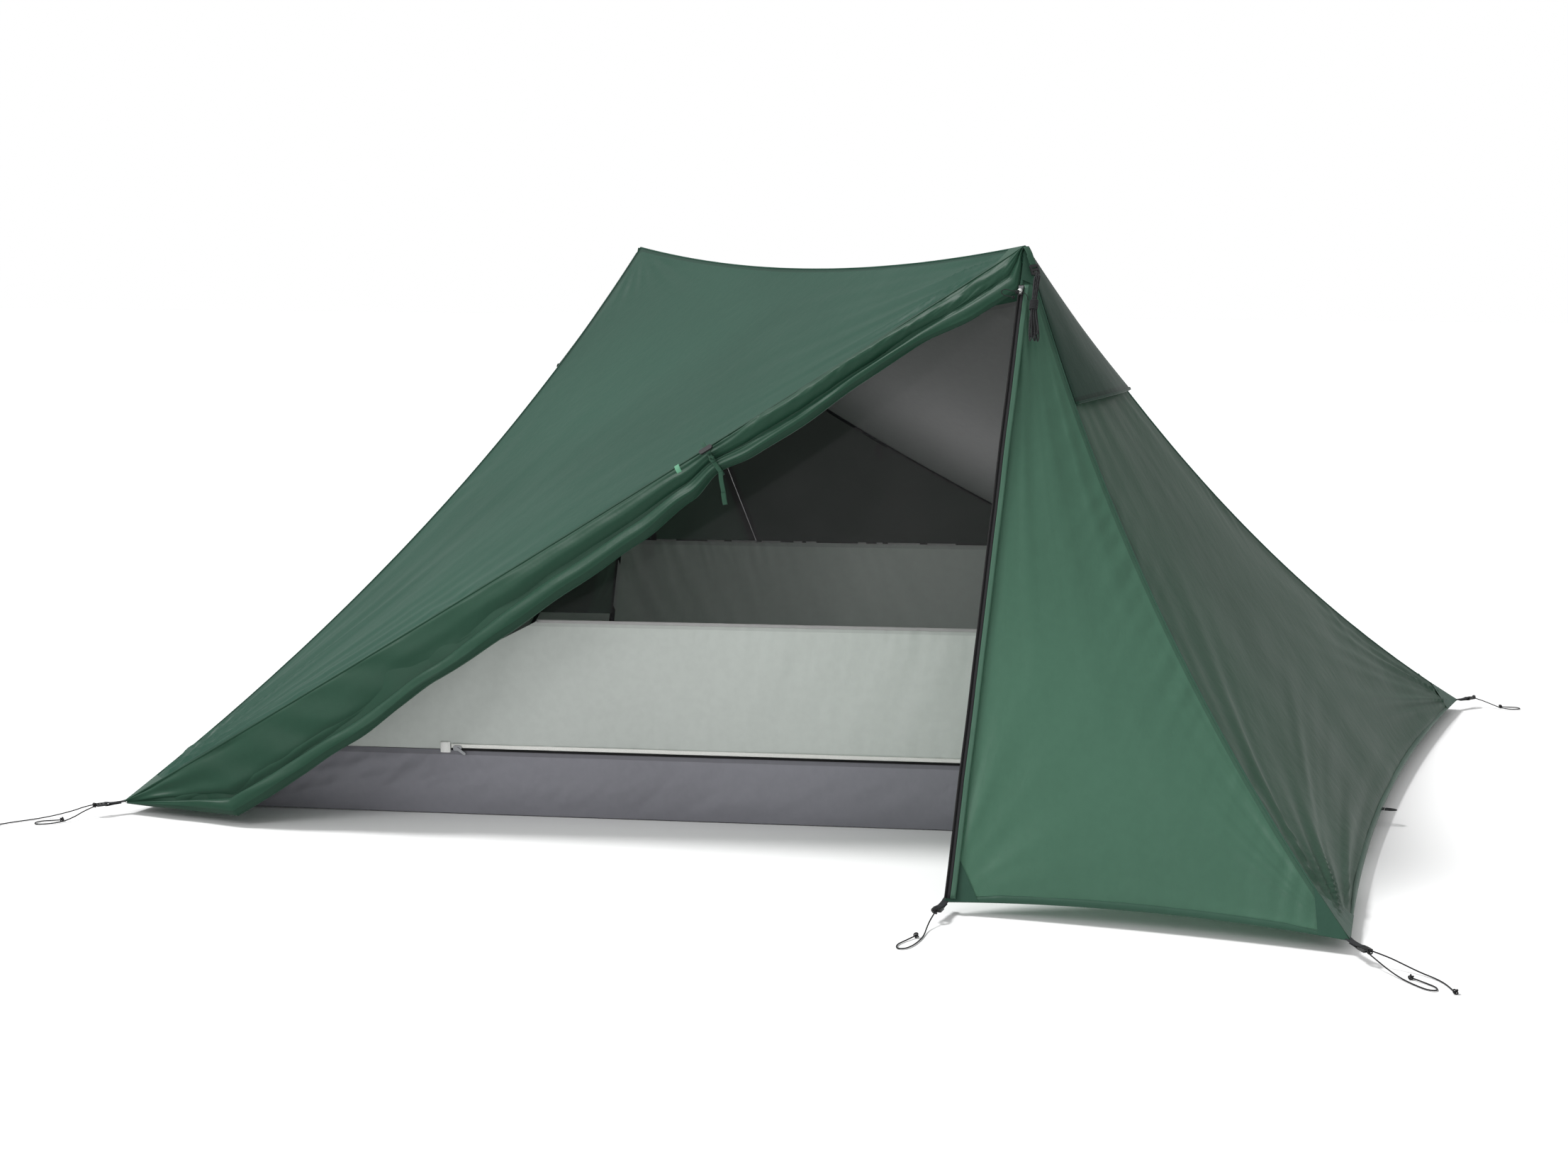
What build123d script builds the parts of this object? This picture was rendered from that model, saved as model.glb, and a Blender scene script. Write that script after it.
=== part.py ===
"""Two-person, double-wall tent pitched on two offset trekking poles.

Frame: X runs along the long side, the open door is on the -Y side, Z is up.
The origin is on the ground at the centre of the fly's footprint. All sizes are in mm.
"""
from build123d import *
import math
import os

os.makedirs("parts", exist_ok=True)

# ---------------------------------------------------------------- driving dimensions
FLY_LENGTH = 2550.0          # corner to corner along the long side
FLY_WIDTH = 2090.0           # corner to corner along the short side
PEAK_H = 1188.0              # height of the two peaks over the ground
HEM_H = 25.0                 # corner eyelet height over the ground
PEAK_F = (549.0, -538.0)     # front peak, in plan
PEAK_B = (-763.0, 461.0)     # back peak, in plan
DOOR_X = 568.0               # door zip meets the long hem here
DOOR_OUT = 31.0              # the door stake pulls the hem out by this much
EPS = 0.0025                 # shell thickness as a fraction of the distance to the shell's centre
FACETS = 6                   # facets along a panel's edge

FLOOR_HALF = 1100.0          # half of the inner floor's length
FLOOR_Y0, FLOOR_SLOPE = -645.0, 0.245   # the floor's front edge is y = FLOOR_Y0 + FLOOR_SLOPE * x
TUB_H = 140.0                # bathtub wall
TUB_LOW = 120.0              # bathtub wall at its two acute corners
SKIRT_H = 420.0              # top of the solid lower panel in the inner's side walls
SKIRT_LOW = 220.0            # the same, behind the upright zip
INNER_PEAK = 1085.0
FABRIC = 1.2                 # wall thickness of the flat fabric solids

TUBE_R, SHAFT_R = 7.0, 8.5   # pole tip section and pole lower section
GRIP_R = 15.0
POLE_SLIDE = 220.0
CORD_D = 2.5


def vec(*p):
    return Vector(*p)


# ---------------------------------------------------------------- fly corners and seams
HL, HW = FLY_LENGTH / 2, FLY_WIDTH / 2
A, C = vec(-HL, -HW, HEM_H), vec(HL, -HW, HEM_H)
D, E = vec(HL, HW, HEM_H), vec(-HL, HW, HEM_H)
B, BB = vec(DOOR_X, -HW - DOOR_OUT, HEM_H - 3), vec(-DOOR_X, HW + DOOR_OUT, HEM_H - 3)
P1, P2 = vec(*PEAK_F, PEAK_H), vec(*PEAK_B, PEAK_H)

# how far the middle of each cut edge hangs in from the straight line between its ends
RIDGE = vec(0, 0, -50)
SEAM_P1A = vec(3, 11, -10)
SEAM_P2A = vec(53, 20, -49)
SEAM_P1C = vec(-54, 50, -58)
SEAM_P1D = vec(-49, -19, -56)
SEAM_P2E = vec(50, -46, -54)
STRAIGHT = vec(0, 0, 0)
HEM_FRONT = vec(0, 14, 12)
HEM_BACK = vec(0, -14, 12)
HEM_RIGHT = vec(-50, 0, 6)
HEM_LEFT = vec(50, 0, 6)


def bowed(p, q, sag, t):
    """Point on a seam that hangs in a shallow parabola between p and q."""
    return p * (1 - t) + q * t + sag * (4 * t * (1 - t))


def panel_points(p, q, r, s_pq, s_qr, s_rp, lift, n=FACETS):
    """Grid over a three-cornered panel with three bowed edges; lift pushes its middle out."""
    grid = {}
    for i in range(n + 1):
        for j in range(n + 1 - i):
            u, v = i / n, j / n
            w = 1 - u - v
            grid[i, j] = (p * u + q * v + r * w + s_pq * (4 * u * v) + s_qr * (4 * v * w)
                          + s_rp * (4 * w * u) + lift * (27 * u * v * w))
    return grid


def closed_solid(tris):
    """Solid bounded by plane triangles."""
    faces = []
    for t in tris:
        area = (t[1] - t[0]).cross(t[2] - t[0]).length / 2
        if area > 1e-4:
            faces.append(Face(Wire.make_polygon([tuple(k) for k in t], close=True)))
    solid = Solid(Shell(faces))
    if solid.volume < 0:
        solid = Solid(Shell([-f for f in faces]))
    return solid


def fabric_shell(grid, n=FACETS, centre=vec(0, 0, 0), eps=EPS):
    """Thin closed shell under a panel grid, mitred towards the shell's centre at every seam."""
    inner = {k: centre + (p - centre) * (1 - eps) for k, p in grid.items()}
    tris = []
    for i in range(n):
        for j in range(n - i):
            a, b, c = (i, j), (i + 1, j), (i, j + 1)
            tris.append((grid[a], grid[b], grid[c]))
            tris.append((inner[a], inner[c], inner[b]))
            if i + j < n - 1:
                d = (i + 1, j + 1)
                tris.append((grid[b], grid[d], grid[c]))
                tris.append((inner[b], inner[c], inner[d]))
    rim = [(i, 0) for i in range(n)] + [(n - k, k) for k in range(n)] + [(0, n - k) for k in range(n)]
    for a, b in zip(rim, rim[1:] + rim[:1]):
        if sum(grid[a]) > sum(grid[b]):      # the same diagonal on both sides of a seam
            tris += [(grid[a], inner[a], inner[b]), (grid[a], inner[b], grid[b])]
        else:
            tris += [(grid[a], inner[a], grid[b]), (inner[a], inner[b], grid[b])]
    return closed_solid(tris)


# ---------------------------------------------------------------- fly panels
with BuildPart() as fly_roof_front:
    add(fabric_shell(panel_points(P1, P2, A, RIDGE, SEAM_P2A, SEAM_P1A, vec(-4, -5, 9))))
fly_roof_front.part.label = "fly_roof_front"

with BuildPart() as fly_roof_back:
    add(fabric_shell(panel_points(P2, P1, D, RIDGE, SEAM_P1D, STRAIGHT, vec(4, 5, 9))))
fly_roof_back.part.label = "fly_roof_back"

with BuildPart() as fly_end_right:
    add(fabric_shell(panel_points(P1, C, D, SEAM_P1C, HEM_RIGHT, SEAM_P1D, vec(26, 0, 16))))
fly_end_right.part.label = "fly_end_right"

with BuildPart() as fly_end_left:
    add(fabric_shell(panel_points(P2, E, A, SEAM_P2E, HEM_LEFT, SEAM_P2A, vec(-27, 0, 12))))
fly_end_left.part.label = "fly_end_left"

with BuildPart() as fly_fixed_front:
    add(fabric_shell(panel_points(P1, B, C, STRAIGHT, HEM_FRONT, SEAM_P1C, vec(4, -12, 6))))
fly_fixed_front.part.label = "fly_fixed_front"

with BuildPart() as fly_fixed_back:
    add(fabric_shell(panel_points(P2, BB, E, STRAIGHT, HEM_BACK, SEAM_P2E, vec(-4, 12, 6))))
fly_fixed_back.part.label = "fly_fixed_back"


def inset(p, q, r, gap):
    """Corner p of a triangle moved in so that both of its edges sit gap inside."""
    a, b = (q - p).normalized(), (r - p).normalized()
    half = math.radians(a.get_angle(b)) / 2
    return p + (a + b).normalized() * (gap / math.sin(half))


DOOR_GAP = 5.0
DB2, DBD, DBB = inset(P2, D, BB, DOOR_GAP), inset(D, BB, P2, DOOR_GAP), inset(BB, P2, D, DOOR_GAP)
with BuildPart() as fly_door_back:
    add(fabric_shell(panel_points(DB2, DBD, DBB, STRAIGHT, HEM_BACK, STRAIGHT, vec(0, 10, 4))))
fly_door_back.part.label = "fly_door_back"

# front door, folded back along the seam from the front peak to corner A and tied there:
# (part of the way from P1 to A, depth of the bundle below the seam, thickness)
BUNDLE = [(0.045, 46, 16), (0.13, 56, 26), (0.24, 66, 34), (0.33, 60, 34), (0.40, 92, 32),
          (0.50, 116, 30), (0.62, 130, 28), (0.74, 148, 26), (0.86, 160, 20), (0.955, 76, 10)]
DOOR_N = (A - P1).cross(B - P1).normalized()
if DOOR_N.Y > 0:
    DOOR_N = DOOR_N * -1
SEAM_U = (A - P1).normalized()
HANG = DOOR_N.cross(SEAM_U)
if HANG.Z > 0:
    HANG = HANG * -1


def bundle_ring(t, depth, thick):
    top = bowed(P1, A, SEAM_P1A, t) - DOOR_N * 5 + HANG * 7
    out = DOOR_N * thick
    return [top, top + HANG * depth * 0.35 + out * 0.55, top + HANG * depth * 0.8 + out * 0.6,
            top + HANG * depth, top + HANG * depth * 0.8 - out * 0.35, top + HANG * depth * 0.35 - out * 0.3]


rings = [bundle_ring(*b) for b in BUNDLE]
bundle_tris = []
for ra, rb in zip(rings, rings[1:]):
    for k in range(6):
        m = (k + 1) % 6
        bundle_tris += [(ra[k], rb[k], ra[m]), (ra[m], rb[k], rb[m])]
for k in range(1, 5):
    bundle_tris += [(rings[0][0], rings[0][k], rings[0][k + 1]),
                    (rings[-1][0], rings[-1][k + 1], rings[-1][k])]
with BuildPart() as fly_door_front:
    add(closed_solid(bundle_tris))
fly_door_front.part.label = "fly_door_front"

# ---------------------------------------------------------------- door zips and sliders
ZIP_OFF = 2.5                                # the zip tape lies this far outside the fabric


def zip_frame(peak, foot, sign):
    """Plane whose X runs down the zip and whose Z points out of the tent."""
    along = (foot - peak).normalized()
    out = vec(0, sign, 0) - along * vec(0, sign, 0).dot(along)
    return Plane(origin=peak, x_dir=along, z_dir=out.normalized())


ZIP_F = zip_frame(P1, B, -1)
ZIP_B = zip_frame(P2, BB, 1)
ZIP_LEN = (B - P1).length
ZIP_BACK_LEN = (BB - P2).length
ZIP_SIDE = 4.5                               # the tape is sewn to the fixed half of the door
ZIP_TOP = 84.0                               # the zip stops this far below the peak

with BuildPart() as fly_zip_front:
    with BuildSketch(ZIP_F.offset(ZIP_OFF)):
        with Locations(((ZIP_TOP + ZIP_LEN - 6) / 2, ZIP_SIDE)):
            Rectangle(ZIP_LEN - 6 - ZIP_TOP, 12)
    extrude(amount=1.2)
fly_zip_front.part.label = "fly_zip_front"

with BuildPart() as fly_zip_back:
    with BuildSketch(ZIP_B.offset(ZIP_OFF)):
        with Locations(((ZIP_TOP + ZIP_BACK_LEN - 6) / 2, ZIP_SIDE)):
            Rectangle(ZIP_BACK_LEN - 6 - ZIP_TOP, 12)
    extrude(amount=1.2)
fly_zip_back.part.label = "fly_zip_back"


def slider_sketch():
    Polygon((-9, -5), (9, -3.2), (9, 3.2), (-9, 5))


with BuildPart() as fly_slider_front:
    with BuildSketch(ZIP_F.offset(ZIP_OFF + 1.5)):
        with Locations((ZIP_TOP + 12, ZIP_SIDE)):
            slider_sketch()
    extrude(amount=4.5)
    with BuildSketch(ZIP_F.offset(ZIP_OFF + 6.0)):
        with Locations((ZIP_TOP + 12, ZIP_SIDE)):
            SlotOverall(12, 5)
    extrude(amount=2)
    with Locations(ZIP_F.offset(ZIP_OFF + 11.0).location * Location((ZIP_TOP + 16, ZIP_SIDE, 0))):
        Sphere(4.2)
fly_slider_front.part.label = "fly_slider_front"

with BuildPart() as fly_slider_back:
    with BuildSketch(ZIP_B.offset(ZIP_OFF + 1.5)):
        with Locations((ZIP_BACK_LEN - 24, ZIP_SIDE)):
            slider_sketch()
    extrude(amount=4.5)
    with BuildSketch(ZIP_B.offset(ZIP_OFF + 6.0)):
        with Locations((ZIP_BACK_LEN - 24, ZIP_SIDE)):
            SlotOverall(12, 5)
    extrude(amount=2)
    with Locations(ZIP_B.offset(ZIP_OFF + 11.0).location * Location((ZIP_BACK_LEN - 20, ZIP_SIDE, 0))):
        Sphere(4.2)
fly_slider_back.part.label = "fly_slider_back"

# ---------------------------------------------------------------- peak vents on the end panels
HOOD_DROP = 288.0                            # the hood's lip is this far below the peak
HOOD_OPEN = 5.0                              # degrees the hood stands off its panel


def hood_corners(peak, low_a, low_b, sag_a, sag_b, sign):
    """The hood's three corners, at the peak and on its two hanging side seams, and its normal."""
    t = (HOOD_DROP - 34) / (peak.Z - low_a.Z)
    a, b = bowed(peak, low_a, sag_a, t), bowed(peak, low_b, sag_b, t)
    n = (a - peak).cross(b - peak).normalized()
    return peak, a, b, n if n.X * sign > 0 else n * -1


def hood_solid(peak, low_a, low_b, sag_a, sag_b, sign):
    p, a, b, n = hood_corners(peak, low_a, low_b, sag_a, sag_b, sign)
    mid = (a + b) * 0.5
    a, b = a + (mid - a) * 0.07, b + (mid - b) * 0.07
    p = p + (mid - p) * 0.12
    off = 11.0
    tilt = math.tan(math.radians(HOOD_OPEN)) * (mid - p).length
    top = [p + n * off, a + n * (off + tilt), b + n * (off + tilt), mid + n * (off + tilt + 7)]
    low = [q - n * 1.6 for q in top]
    faces = [(top[0], top[1], top[3]), (top[0], top[3], top[2]),
             (low[0], low[3], low[1]), (low[0], low[2], low[3])]
    for i, j in ((0, 1), (1, 3), (3, 2), (2, 0)):
        faces += [(top[i], low[i], low[j]), (top[i], low[j], top[j])]
    return closed_solid(faces)


with BuildPart() as vent_hood_right:
    add(hood_solid(P1, C, D, SEAM_P1C, SEAM_P1D, 1))
vent_hood_right.part.label = "vent_hood_right"

with BuildPart() as vent_hood_left:
    add(hood_solid(P2, E, A, SEAM_P2E, SEAM_P2A, -1))
vent_hood_left.part.label = "vent_hood_left"


def strut_frame(peak, low_a, low_b, sag_a, sag_b, sign):
    """Plane on the end panel at the strut's foot; Z points out, X runs down the panel."""
    p, a, b, n = hood_corners(peak, low_a, low_b, sag_a, sag_b, sign)
    mid = (a + b) * 0.5
    down = (mid - p).normalized()
    return Plane(origin=mid - down * 14 + n * STRUT_UP, x_dir=down, z_dir=n)


STRUT_UP = 9.0
STRUT_R = strut_frame(P1, C, D, SEAM_P1C, SEAM_P1D, 1)
STRUT_L = strut_frame(P2, E, A, SEAM_P2E, SEAM_P2A, -1)
STRUT_LEN = 22.0
with BuildPart() as vent_strut_right:
    with BuildSketch(STRUT_R):
        RectangleRounded(4, 12, 1.5)
    extrude(amount=STRUT_LEN)
vent_strut_right.part.label = "vent_strut_right"

with BuildPart() as vent_strut_left:
    with BuildSketch(STRUT_L):
        RectangleRounded(4, 12, 1.5)
    extrude(amount=STRUT_LEN)
vent_strut_left.part.label = "vent_strut_left"

# ---------------------------------------------------------------- hem hardware
OUT_A, OUT_B = vec(-0.62, -0.78, 0), vec(0.02, -1.0, 0)
TAB_LEN, TAB_W = 34.0, 14.0


def out_plane(corner, out, dist=0.0, dz=0.0):
    """Plane at a corner: X points away from the tent, Z is up."""
    o = out.normalized()
    return Plane(origin=corner + o * dist + vec(0, 0, dz), x_dir=o, z_dir=vec(0, 0, 1))


HEM_POINTS = [(A, OUT_A), (C, vec(0.62, -0.78, 0)), (D, vec(0.62, 0.78, 0)), (E, vec(-0.62, 0.78, 0)),
              (B, OUT_B), (BB, OUT_B * -1)]
with BuildPart() as hem_tabs:
    for corner, out in HEM_POINTS:
        with BuildSketch(out_plane(corner, out, 3, -1)):
            with Locations((TAB_LEN / 2, 0)):
                Rectangle(TAB_LEN, TAB_W)
        extrude(amount=1.6)
    for point, out in [(bowed(C, D, HEM_RIGHT, 0.42), vec(1, 0, 0)), (bowed(E, A, HEM_LEFT, 0.42), vec(-1, 0, 0))]:
        with BuildSketch(out_plane(point, out, 4, -1)):
            with Locations((13, 0)):
                SlotOverall(26, 15)
                SlotOverall(17, 7, mode=Mode.SUBTRACT)
        extrude(amount=2)
hem_tabs.part.label = "hem_tabs"

with BuildPart() as hem_adjusters:
    for corner, out in HEM_POINTS:
        with BuildSketch(out_plane(corner, out, TAB_LEN + 3.2, -2.2)):
            with Locations((11, 0)):
                RectangleRounded(22, 19, 2.5)
            with Locations((4.5, 0)):
                Rectangle(3, 14, mode=Mode.SUBTRACT)
            with Locations((11, 0)):
                Rectangle(3.6, 12, mode=Mode.SUBTRACT)
            with Locations((17.5, 0)):
                Rectangle(3.6, 12, mode=Mode.SUBTRACT)
        extrude(amount=4)
hem_adjusters.part.label = "hem_adjusters"

# ---------------------------------------------------------------- peak guyline hardware
SEAM_C_DIR = (bowed(P1, C, SEAM_P1C, 0.06) - P1).normalized()
SEAM_E_DIR = (bowed(P2, E, SEAM_P2E, 0.06) - P2).normalized()


def guy_plane(peak, along, sign):
    """Plane lying on the seam below a peak: X runs down the seam, Z points out."""
    out = vec(0.55 * sign, -0.62 * sign, 0.5)
    out = (out - along * out.dot(along)).normalized()
    return Plane(origin=peak + out * 9 + along * 6, x_dir=along, z_dir=out)


GUY_F, GUY_B = guy_plane(P1, SEAM_C_DIR, 1), guy_plane(P2, SEAM_E_DIR, -1)
with BuildPart() as peak_guy_tabs:
    for frame in (GUY_F, GUY_B):
        with BuildSketch(frame):
            with Locations((20, 0)):
                Rectangle(34, 13)
        extrude(amount=1.6)
peak_guy_tabs.part.label = "peak_guy_tabs"

with BuildPart() as peak_guy_adjusters:
    for frame in (GUY_F, GUY_B):
        with BuildSketch(frame.offset(-1)):
            with Locations((48, 0)):
                RectangleRounded(21, 18, 2.5)
                with Locations((-4, 0)):
                    Rectangle(3.2, 12, mode=Mode.SUBTRACT)
                with Locations((4, 0)):
                    Rectangle(3.2, 12, mode=Mode.SUBTRACT)
        extrude(amount=4)
peak_guy_adjusters.part.label = "peak_guy_adjusters"

# the spare guyline is folded into a flat hank that hangs from the adjuster
FIXED_N = (B - P1).cross(C - P1).normalized()
FIXED_N = FIXED_N if FIXED_N.Y < 0 else FIXED_N * -1
HANK_TOP = GUY_F.origin + SEAM_C_DIR * 62 + FIXED_N * 9 + vec(5, 0, 0)
HANK = Plane(origin=HANK_TOP, x_dir=vec(0, 0, 1).cross(FIXED_N), z_dir=FIXED_N)
with BuildPart() as peak_guy_hank:
    with BuildSketch(HANK.offset(2)):
        with BuildLine():
            Polyline((-9, 0), (9, 0), (10, -70), (17, -132), (8, -148), (-6, -142), (-11, -70), close=True)
        make_face()
        fillet(vertices(), 4)
    extrude(amount=14)
peak_guy_hank.part.label = "peak_guy_hank"

# ---------------------------------------------------------------- door tie-back
TIE_T = 0.335
TIE_AT = bowed(P1, A, SEAM_P1A, TIE_T) - DOOR_N * 5 + HANG * 7
TIE = Plane(origin=TIE_AT + HANG * 36 + DOOR_N * 3, x_dir=HANG, z_dir=SEAM_U)
with BuildPart() as door_tie_loop:
    with BuildSketch(TIE):
        RectangleRounded(80, 60, 22)
        RectangleRounded(76.8, 56.8, 20.4, mode=Mode.SUBTRACT)
    extrude(amount=6, both=True)
door_tie_loop.part.label = "door_tie_loop"

with BuildPart() as door_tie_toggle:
    with BuildSketch(Plane(origin=TIE_AT + HANG * 12 + DOOR_N * 34.5, x_dir=SEAM_U, z_dir=DOOR_N)):
        SlotOverall(30, 9)
    extrude(amount=6)
door_tie_toggle.part.label = "door_tie_toggle"

STRAP_AT = TIE_AT + HANG * 80 + DOOR_N * 8
with BuildPart() as door_tie_strap:
    with BuildSketch(Plane(origin=STRAP_AT, x_dir=vec(1, 0, 0), z_dir=vec(0, -1, 0))):
        with BuildLine():
            Polyline((-5, -1), (5, -1), (17, -64), (8, -66), close=True)
        make_face()
    extrude(amount=1.4)
door_tie_strap.part.label = "door_tie_strap"

# ---------------------------------------------------------------- inner tent
def front_edge(x):
    return FLOOR_Y0 + FLOOR_SLOPE * x


WALL_U = vec(1, FLOOR_SLOPE, 0).normalized()
WALL_OUT = vec(FLOOR_SLOPE, -1, 0).normalized()
FH = FLOOR_HALF
F1, F2 = vec(-FH, front_edge(-FH), 0), vec(FH, front_edge(FH), 0)
F3, F4 = F1 * -1, F2 * -1
Q1X, Q2X = 545.0, -748.0
Q1 = vec(Q1X, front_edge(Q1X), INNER_PEAK)
Q2 = vec(Q2X, -front_edge(-Q2X), INNER_PEAK)
G1, G2 = F1 + vec(0, 0, TUB_LOW), F2 + vec(0, 0, TUB_H)
G3, G4 = F3 + vec(0, 0, TUB_LOW), F4 + vec(0, 0, TUB_H)
IN_RIDGE = vec(0, 0, -62)
IN_ROOF_WALL = vec(0, 0, -96)
IN_WALL_END = WALL_U * -42 + vec(0, 0, -16)
IN_WALL_END_B = WALL_U * 42 + vec(0, 0, -16)
IN_END_ROOF = vec(-52, -18, -50)
IN_END_ROOF_B = vec(54, 18, -46)
MID = vec(0, 0, 300)

with BuildPart() as inner_roof_front:
    add(fabric_shell(panel_points(Q1, Q2, G1, IN_RIDGE, IN_END_ROOF_B, IN_ROOF_WALL, vec(0, 0, 6)),
                     centre=MID))
inner_roof_front.part.label = "inner_roof_front"

with BuildPart() as inner_roof_back:
    add(fabric_shell(panel_points(Q2, Q1, G3, IN_RIDGE, IN_END_ROOF, IN_ROOF_WALL, vec(0, 0, 6)),
                     centre=MID))
inner_roof_back.part.label = "inner_roof_back"

with BuildPart() as inner_end_right:
    add(fabric_shell(panel_points(Q1, G2, G3, IN_WALL_END, STRAIGHT, IN_END_ROOF, vec(10, 0, 6)),
                     centre=MID))
inner_end_right.part.label = "inner_end_right"

with BuildPart() as inner_end_left:
    add(fabric_shell(panel_points(Q2, G4, G1, IN_WALL_END_B, STRAIGHT, IN_END_ROOF_B, vec(-10, 0, 6)),
                     centre=MID))
inner_end_left.part.label = "inner_end_left"

with BuildPart() as inner_floor:
    with BuildSketch():
        with BuildLine():
            Polyline(*[(p.X, p.Y) for p in (F1, F2, F3, F4)], close=True)
        make_face()
    extrude(amount=1.5)
inner_floor.part.label = "inner_floor"

# the side walls are flat and upright: X runs along the floor's edge, Y is up
WALL_F = Plane(origin=vec(0, FLOOR_Y0, 0), x_dir=WALL_U, z_dir=WALL_OUT)
WALL_B = Plane(origin=vec(0, -FLOOR_Y0, 0), x_dir=WALL_U * -1, z_dir=WALL_OUT * -1)
K = 1 / WALL_U.X                             # length along the wall per unit of x


def wall_xy(p, back=False):
    s = -1 if back else 1
    return (p.X * K * s, p.Z)


def seam_on_wall(peak, low, sag, back, drop=4.0, n=FACETS):
    """The seam's corners on the wall's plane, lowered so that the wall stops under the roof."""
    pts = [wall_xy(bowed(peak, low, sag, k / n), back) for k in range(n + 1)]
    return [(x, z - drop) for x, z in pts]


def cut_at(line, z):
    """Where a falling polyline crosses height z."""
    for (xa, za), (xb, zb) in zip(line, line[1:]):
        if za >= z >= zb:
            return (xa + (xb - xa) * (za - z) / (za - zb), z)
    return line[-1]


def wall_shapes(back):
    """Outlines of one side wall: tub, solid lower panel, mesh to its left and right of the zip."""
    peak, near, far = (Q2, G3, G4) if back else (Q1, G1, G2)
    end_sag = IN_WALL_END_B if back else IN_WALL_END
    roof_line = seam_on_wall(peak, near, IN_ROOF_WALL, back)
    end_line = [(x - 5, z) for x, z in seam_on_wall(peak, far, end_sag, back)]
    zip_top = (wall_xy(peak, back)[0], INNER_PEAK - 34)
    zip_low = (zip_top[0] + 106, SKIRT_LOW)
    along = (SKIRT_H - SKIRT_LOW) / (zip_top[1] - SKIRT_LOW)
    zip_mid = (zip_low[0] + (zip_top[0] - zip_low[0]) * along, SKIRT_H)
    left_hi, right_lo = cut_at(roof_line, SKIRT_H), cut_at(end_line, SKIRT_LOW)
    upper = [p for p in roof_line if p[1] > SKIRT_H]
    lower = [p for p in roof_line if p[1] < SKIRT_H and p[1] > TUB_H + 2]
    tub_l = cut_at(roof_line, TUB_H + 1)
    end_hi = [p for p in end_line if p[1] > SKIRT_LOW]
    end_lo = [p for p in end_line if TUB_H + 1 < p[1] < SKIRT_LOW]
    mesh = ([left_hi] + upper[::-1] + end_hi[1:] + [right_lo, zip_low, zip_mid])
    skirt = ([tub_l] + lower[::-1] + [left_hi, zip_mid, zip_low, right_lo] + end_lo
             + [(end_line[-1][0], TUB_H + 1)])
    tub = [(wall_xy(near, back)[0], 1.6), (wall_xy(far, back)[0], 1.6), (wall_xy(far, back)[0], TUB_H),
           (tub_l[0], TUB_H), (wall_xy(near, back)[0], TUB_LOW - 5)]
    return mesh, skirt, tub, zip_top, zip_low


MESH_F, SKIRT_F, TUB_F, ZT_F, ZL_F = wall_shapes(False)
MESH_B, SKIRT_B, TUB_B, ZT_B, ZL_B = wall_shapes(True)


def dedupe(pts):
    out = []
    for p in pts:
        if not out or math.dist(p, out[-1]) > 0.5:
            out.append(p)
    if math.dist(out[0], out[-1]) < 0.5:
        out.pop()
    return out


with BuildPart() as inner_mesh_front:
    with BuildSketch(WALL_F):
        with BuildLine():
            Polyline(*dedupe(MESH_F), close=True)
        make_face()
    extrude(amount=-FABRIC)
inner_mesh_front.part.label = "inner_mesh_front"

with BuildPart() as inner_mesh_back:
    with BuildSketch(WALL_B):
        with BuildLine():
            Polyline(*dedupe(MESH_B), close=True)
        make_face()
    extrude(amount=-FABRIC)
inner_mesh_back.part.label = "inner_mesh_back"

with BuildPart() as inner_skirt_front:
    with BuildSketch(WALL_F):
        with BuildLine():
            Polyline(*dedupe(SKIRT_F), close=True)
        make_face()
    extrude(amount=-FABRIC)
inner_skirt_front.part.label = "inner_skirt_front"

with BuildPart() as inner_skirt_back:
    with BuildSketch(WALL_B):
        with BuildLine():
            Polyline(*dedupe(SKIRT_B), close=True)
        make_face()
    extrude(amount=-FABRIC)
inner_skirt_back.part.label = "inner_skirt_back"

with BuildPart() as inner_tub_front:
    with BuildSketch(WALL_F):
        with BuildLine():
            Polyline(*dedupe(TUB_F), close=True)
        make_face()
    extrude(amount=-FABRIC)
inner_tub_front.part.label = "inner_tub_front"

with BuildPart() as inner_tub_back:
    with BuildSketch(WALL_B):
        with BuildLine():
            Polyline(*dedupe(TUB_B), close=True)
        make_face()
    extrude(amount=-FABRIC)
inner_tub_back.part.label = "inner_tub_back"


def tub_end(sign):
    """Upright end wall of the bathtub, from just inside one corner to just inside the other."""
    y_near, y_far = (F2.Y + 2, F3.Y - 2) if sign > 0 else (F4.Y - 2, F1.Y + 2)
    with BuildSketch(Plane.YZ.offset(sign * FH)) as outline:
        with BuildLine():
            Polyline((y_near, 1.6), (y_far, 1.6), (y_far, TUB_LOW - 4), (y_near, TUB_H - 4),
                     close=True)
        make_face()
    extrude(outline.sketch, amount=-sign * FABRIC)


with BuildPart() as inner_tub_ends:
    tub_end(1)
    tub_end(-1)
inner_tub_ends.part.label = "inner_tub_ends"

# the inner's zip runs along the top of the tub from its left end stop, then up to the peak
ZIP_X0, ZIP_X1 = -617.0 * K, ZL_F[0] + 6.0


def inner_zip(wall, low, top):
    with BuildSketch(wall.offset(0.2)) as level_run:
        with Locations(((ZIP_X0 + ZIP_X1) / 2, TUB_H + 4)):
            Rectangle(ZIP_X1 - ZIP_X0, 15)
    extrude(level_run.sketch, amount=1)
    d = vec(top[0] - low[0], top[1] - TUB_H, 0)
    with BuildSketch(wall.offset(0.2)) as upright_run:
        with Locations(Location(((ZIP_X1 - 8 + top[0]) / 2, (TUB_H + 4 + top[1]) / 2, 0),
                                (0, 0, math.degrees(math.atan2(top[1] - TUB_H - 4, top[0] - ZIP_X1 + 8))))):
            Rectangle(d.length - 10, 15)
    extrude(upright_run.sketch, amount=1)


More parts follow.
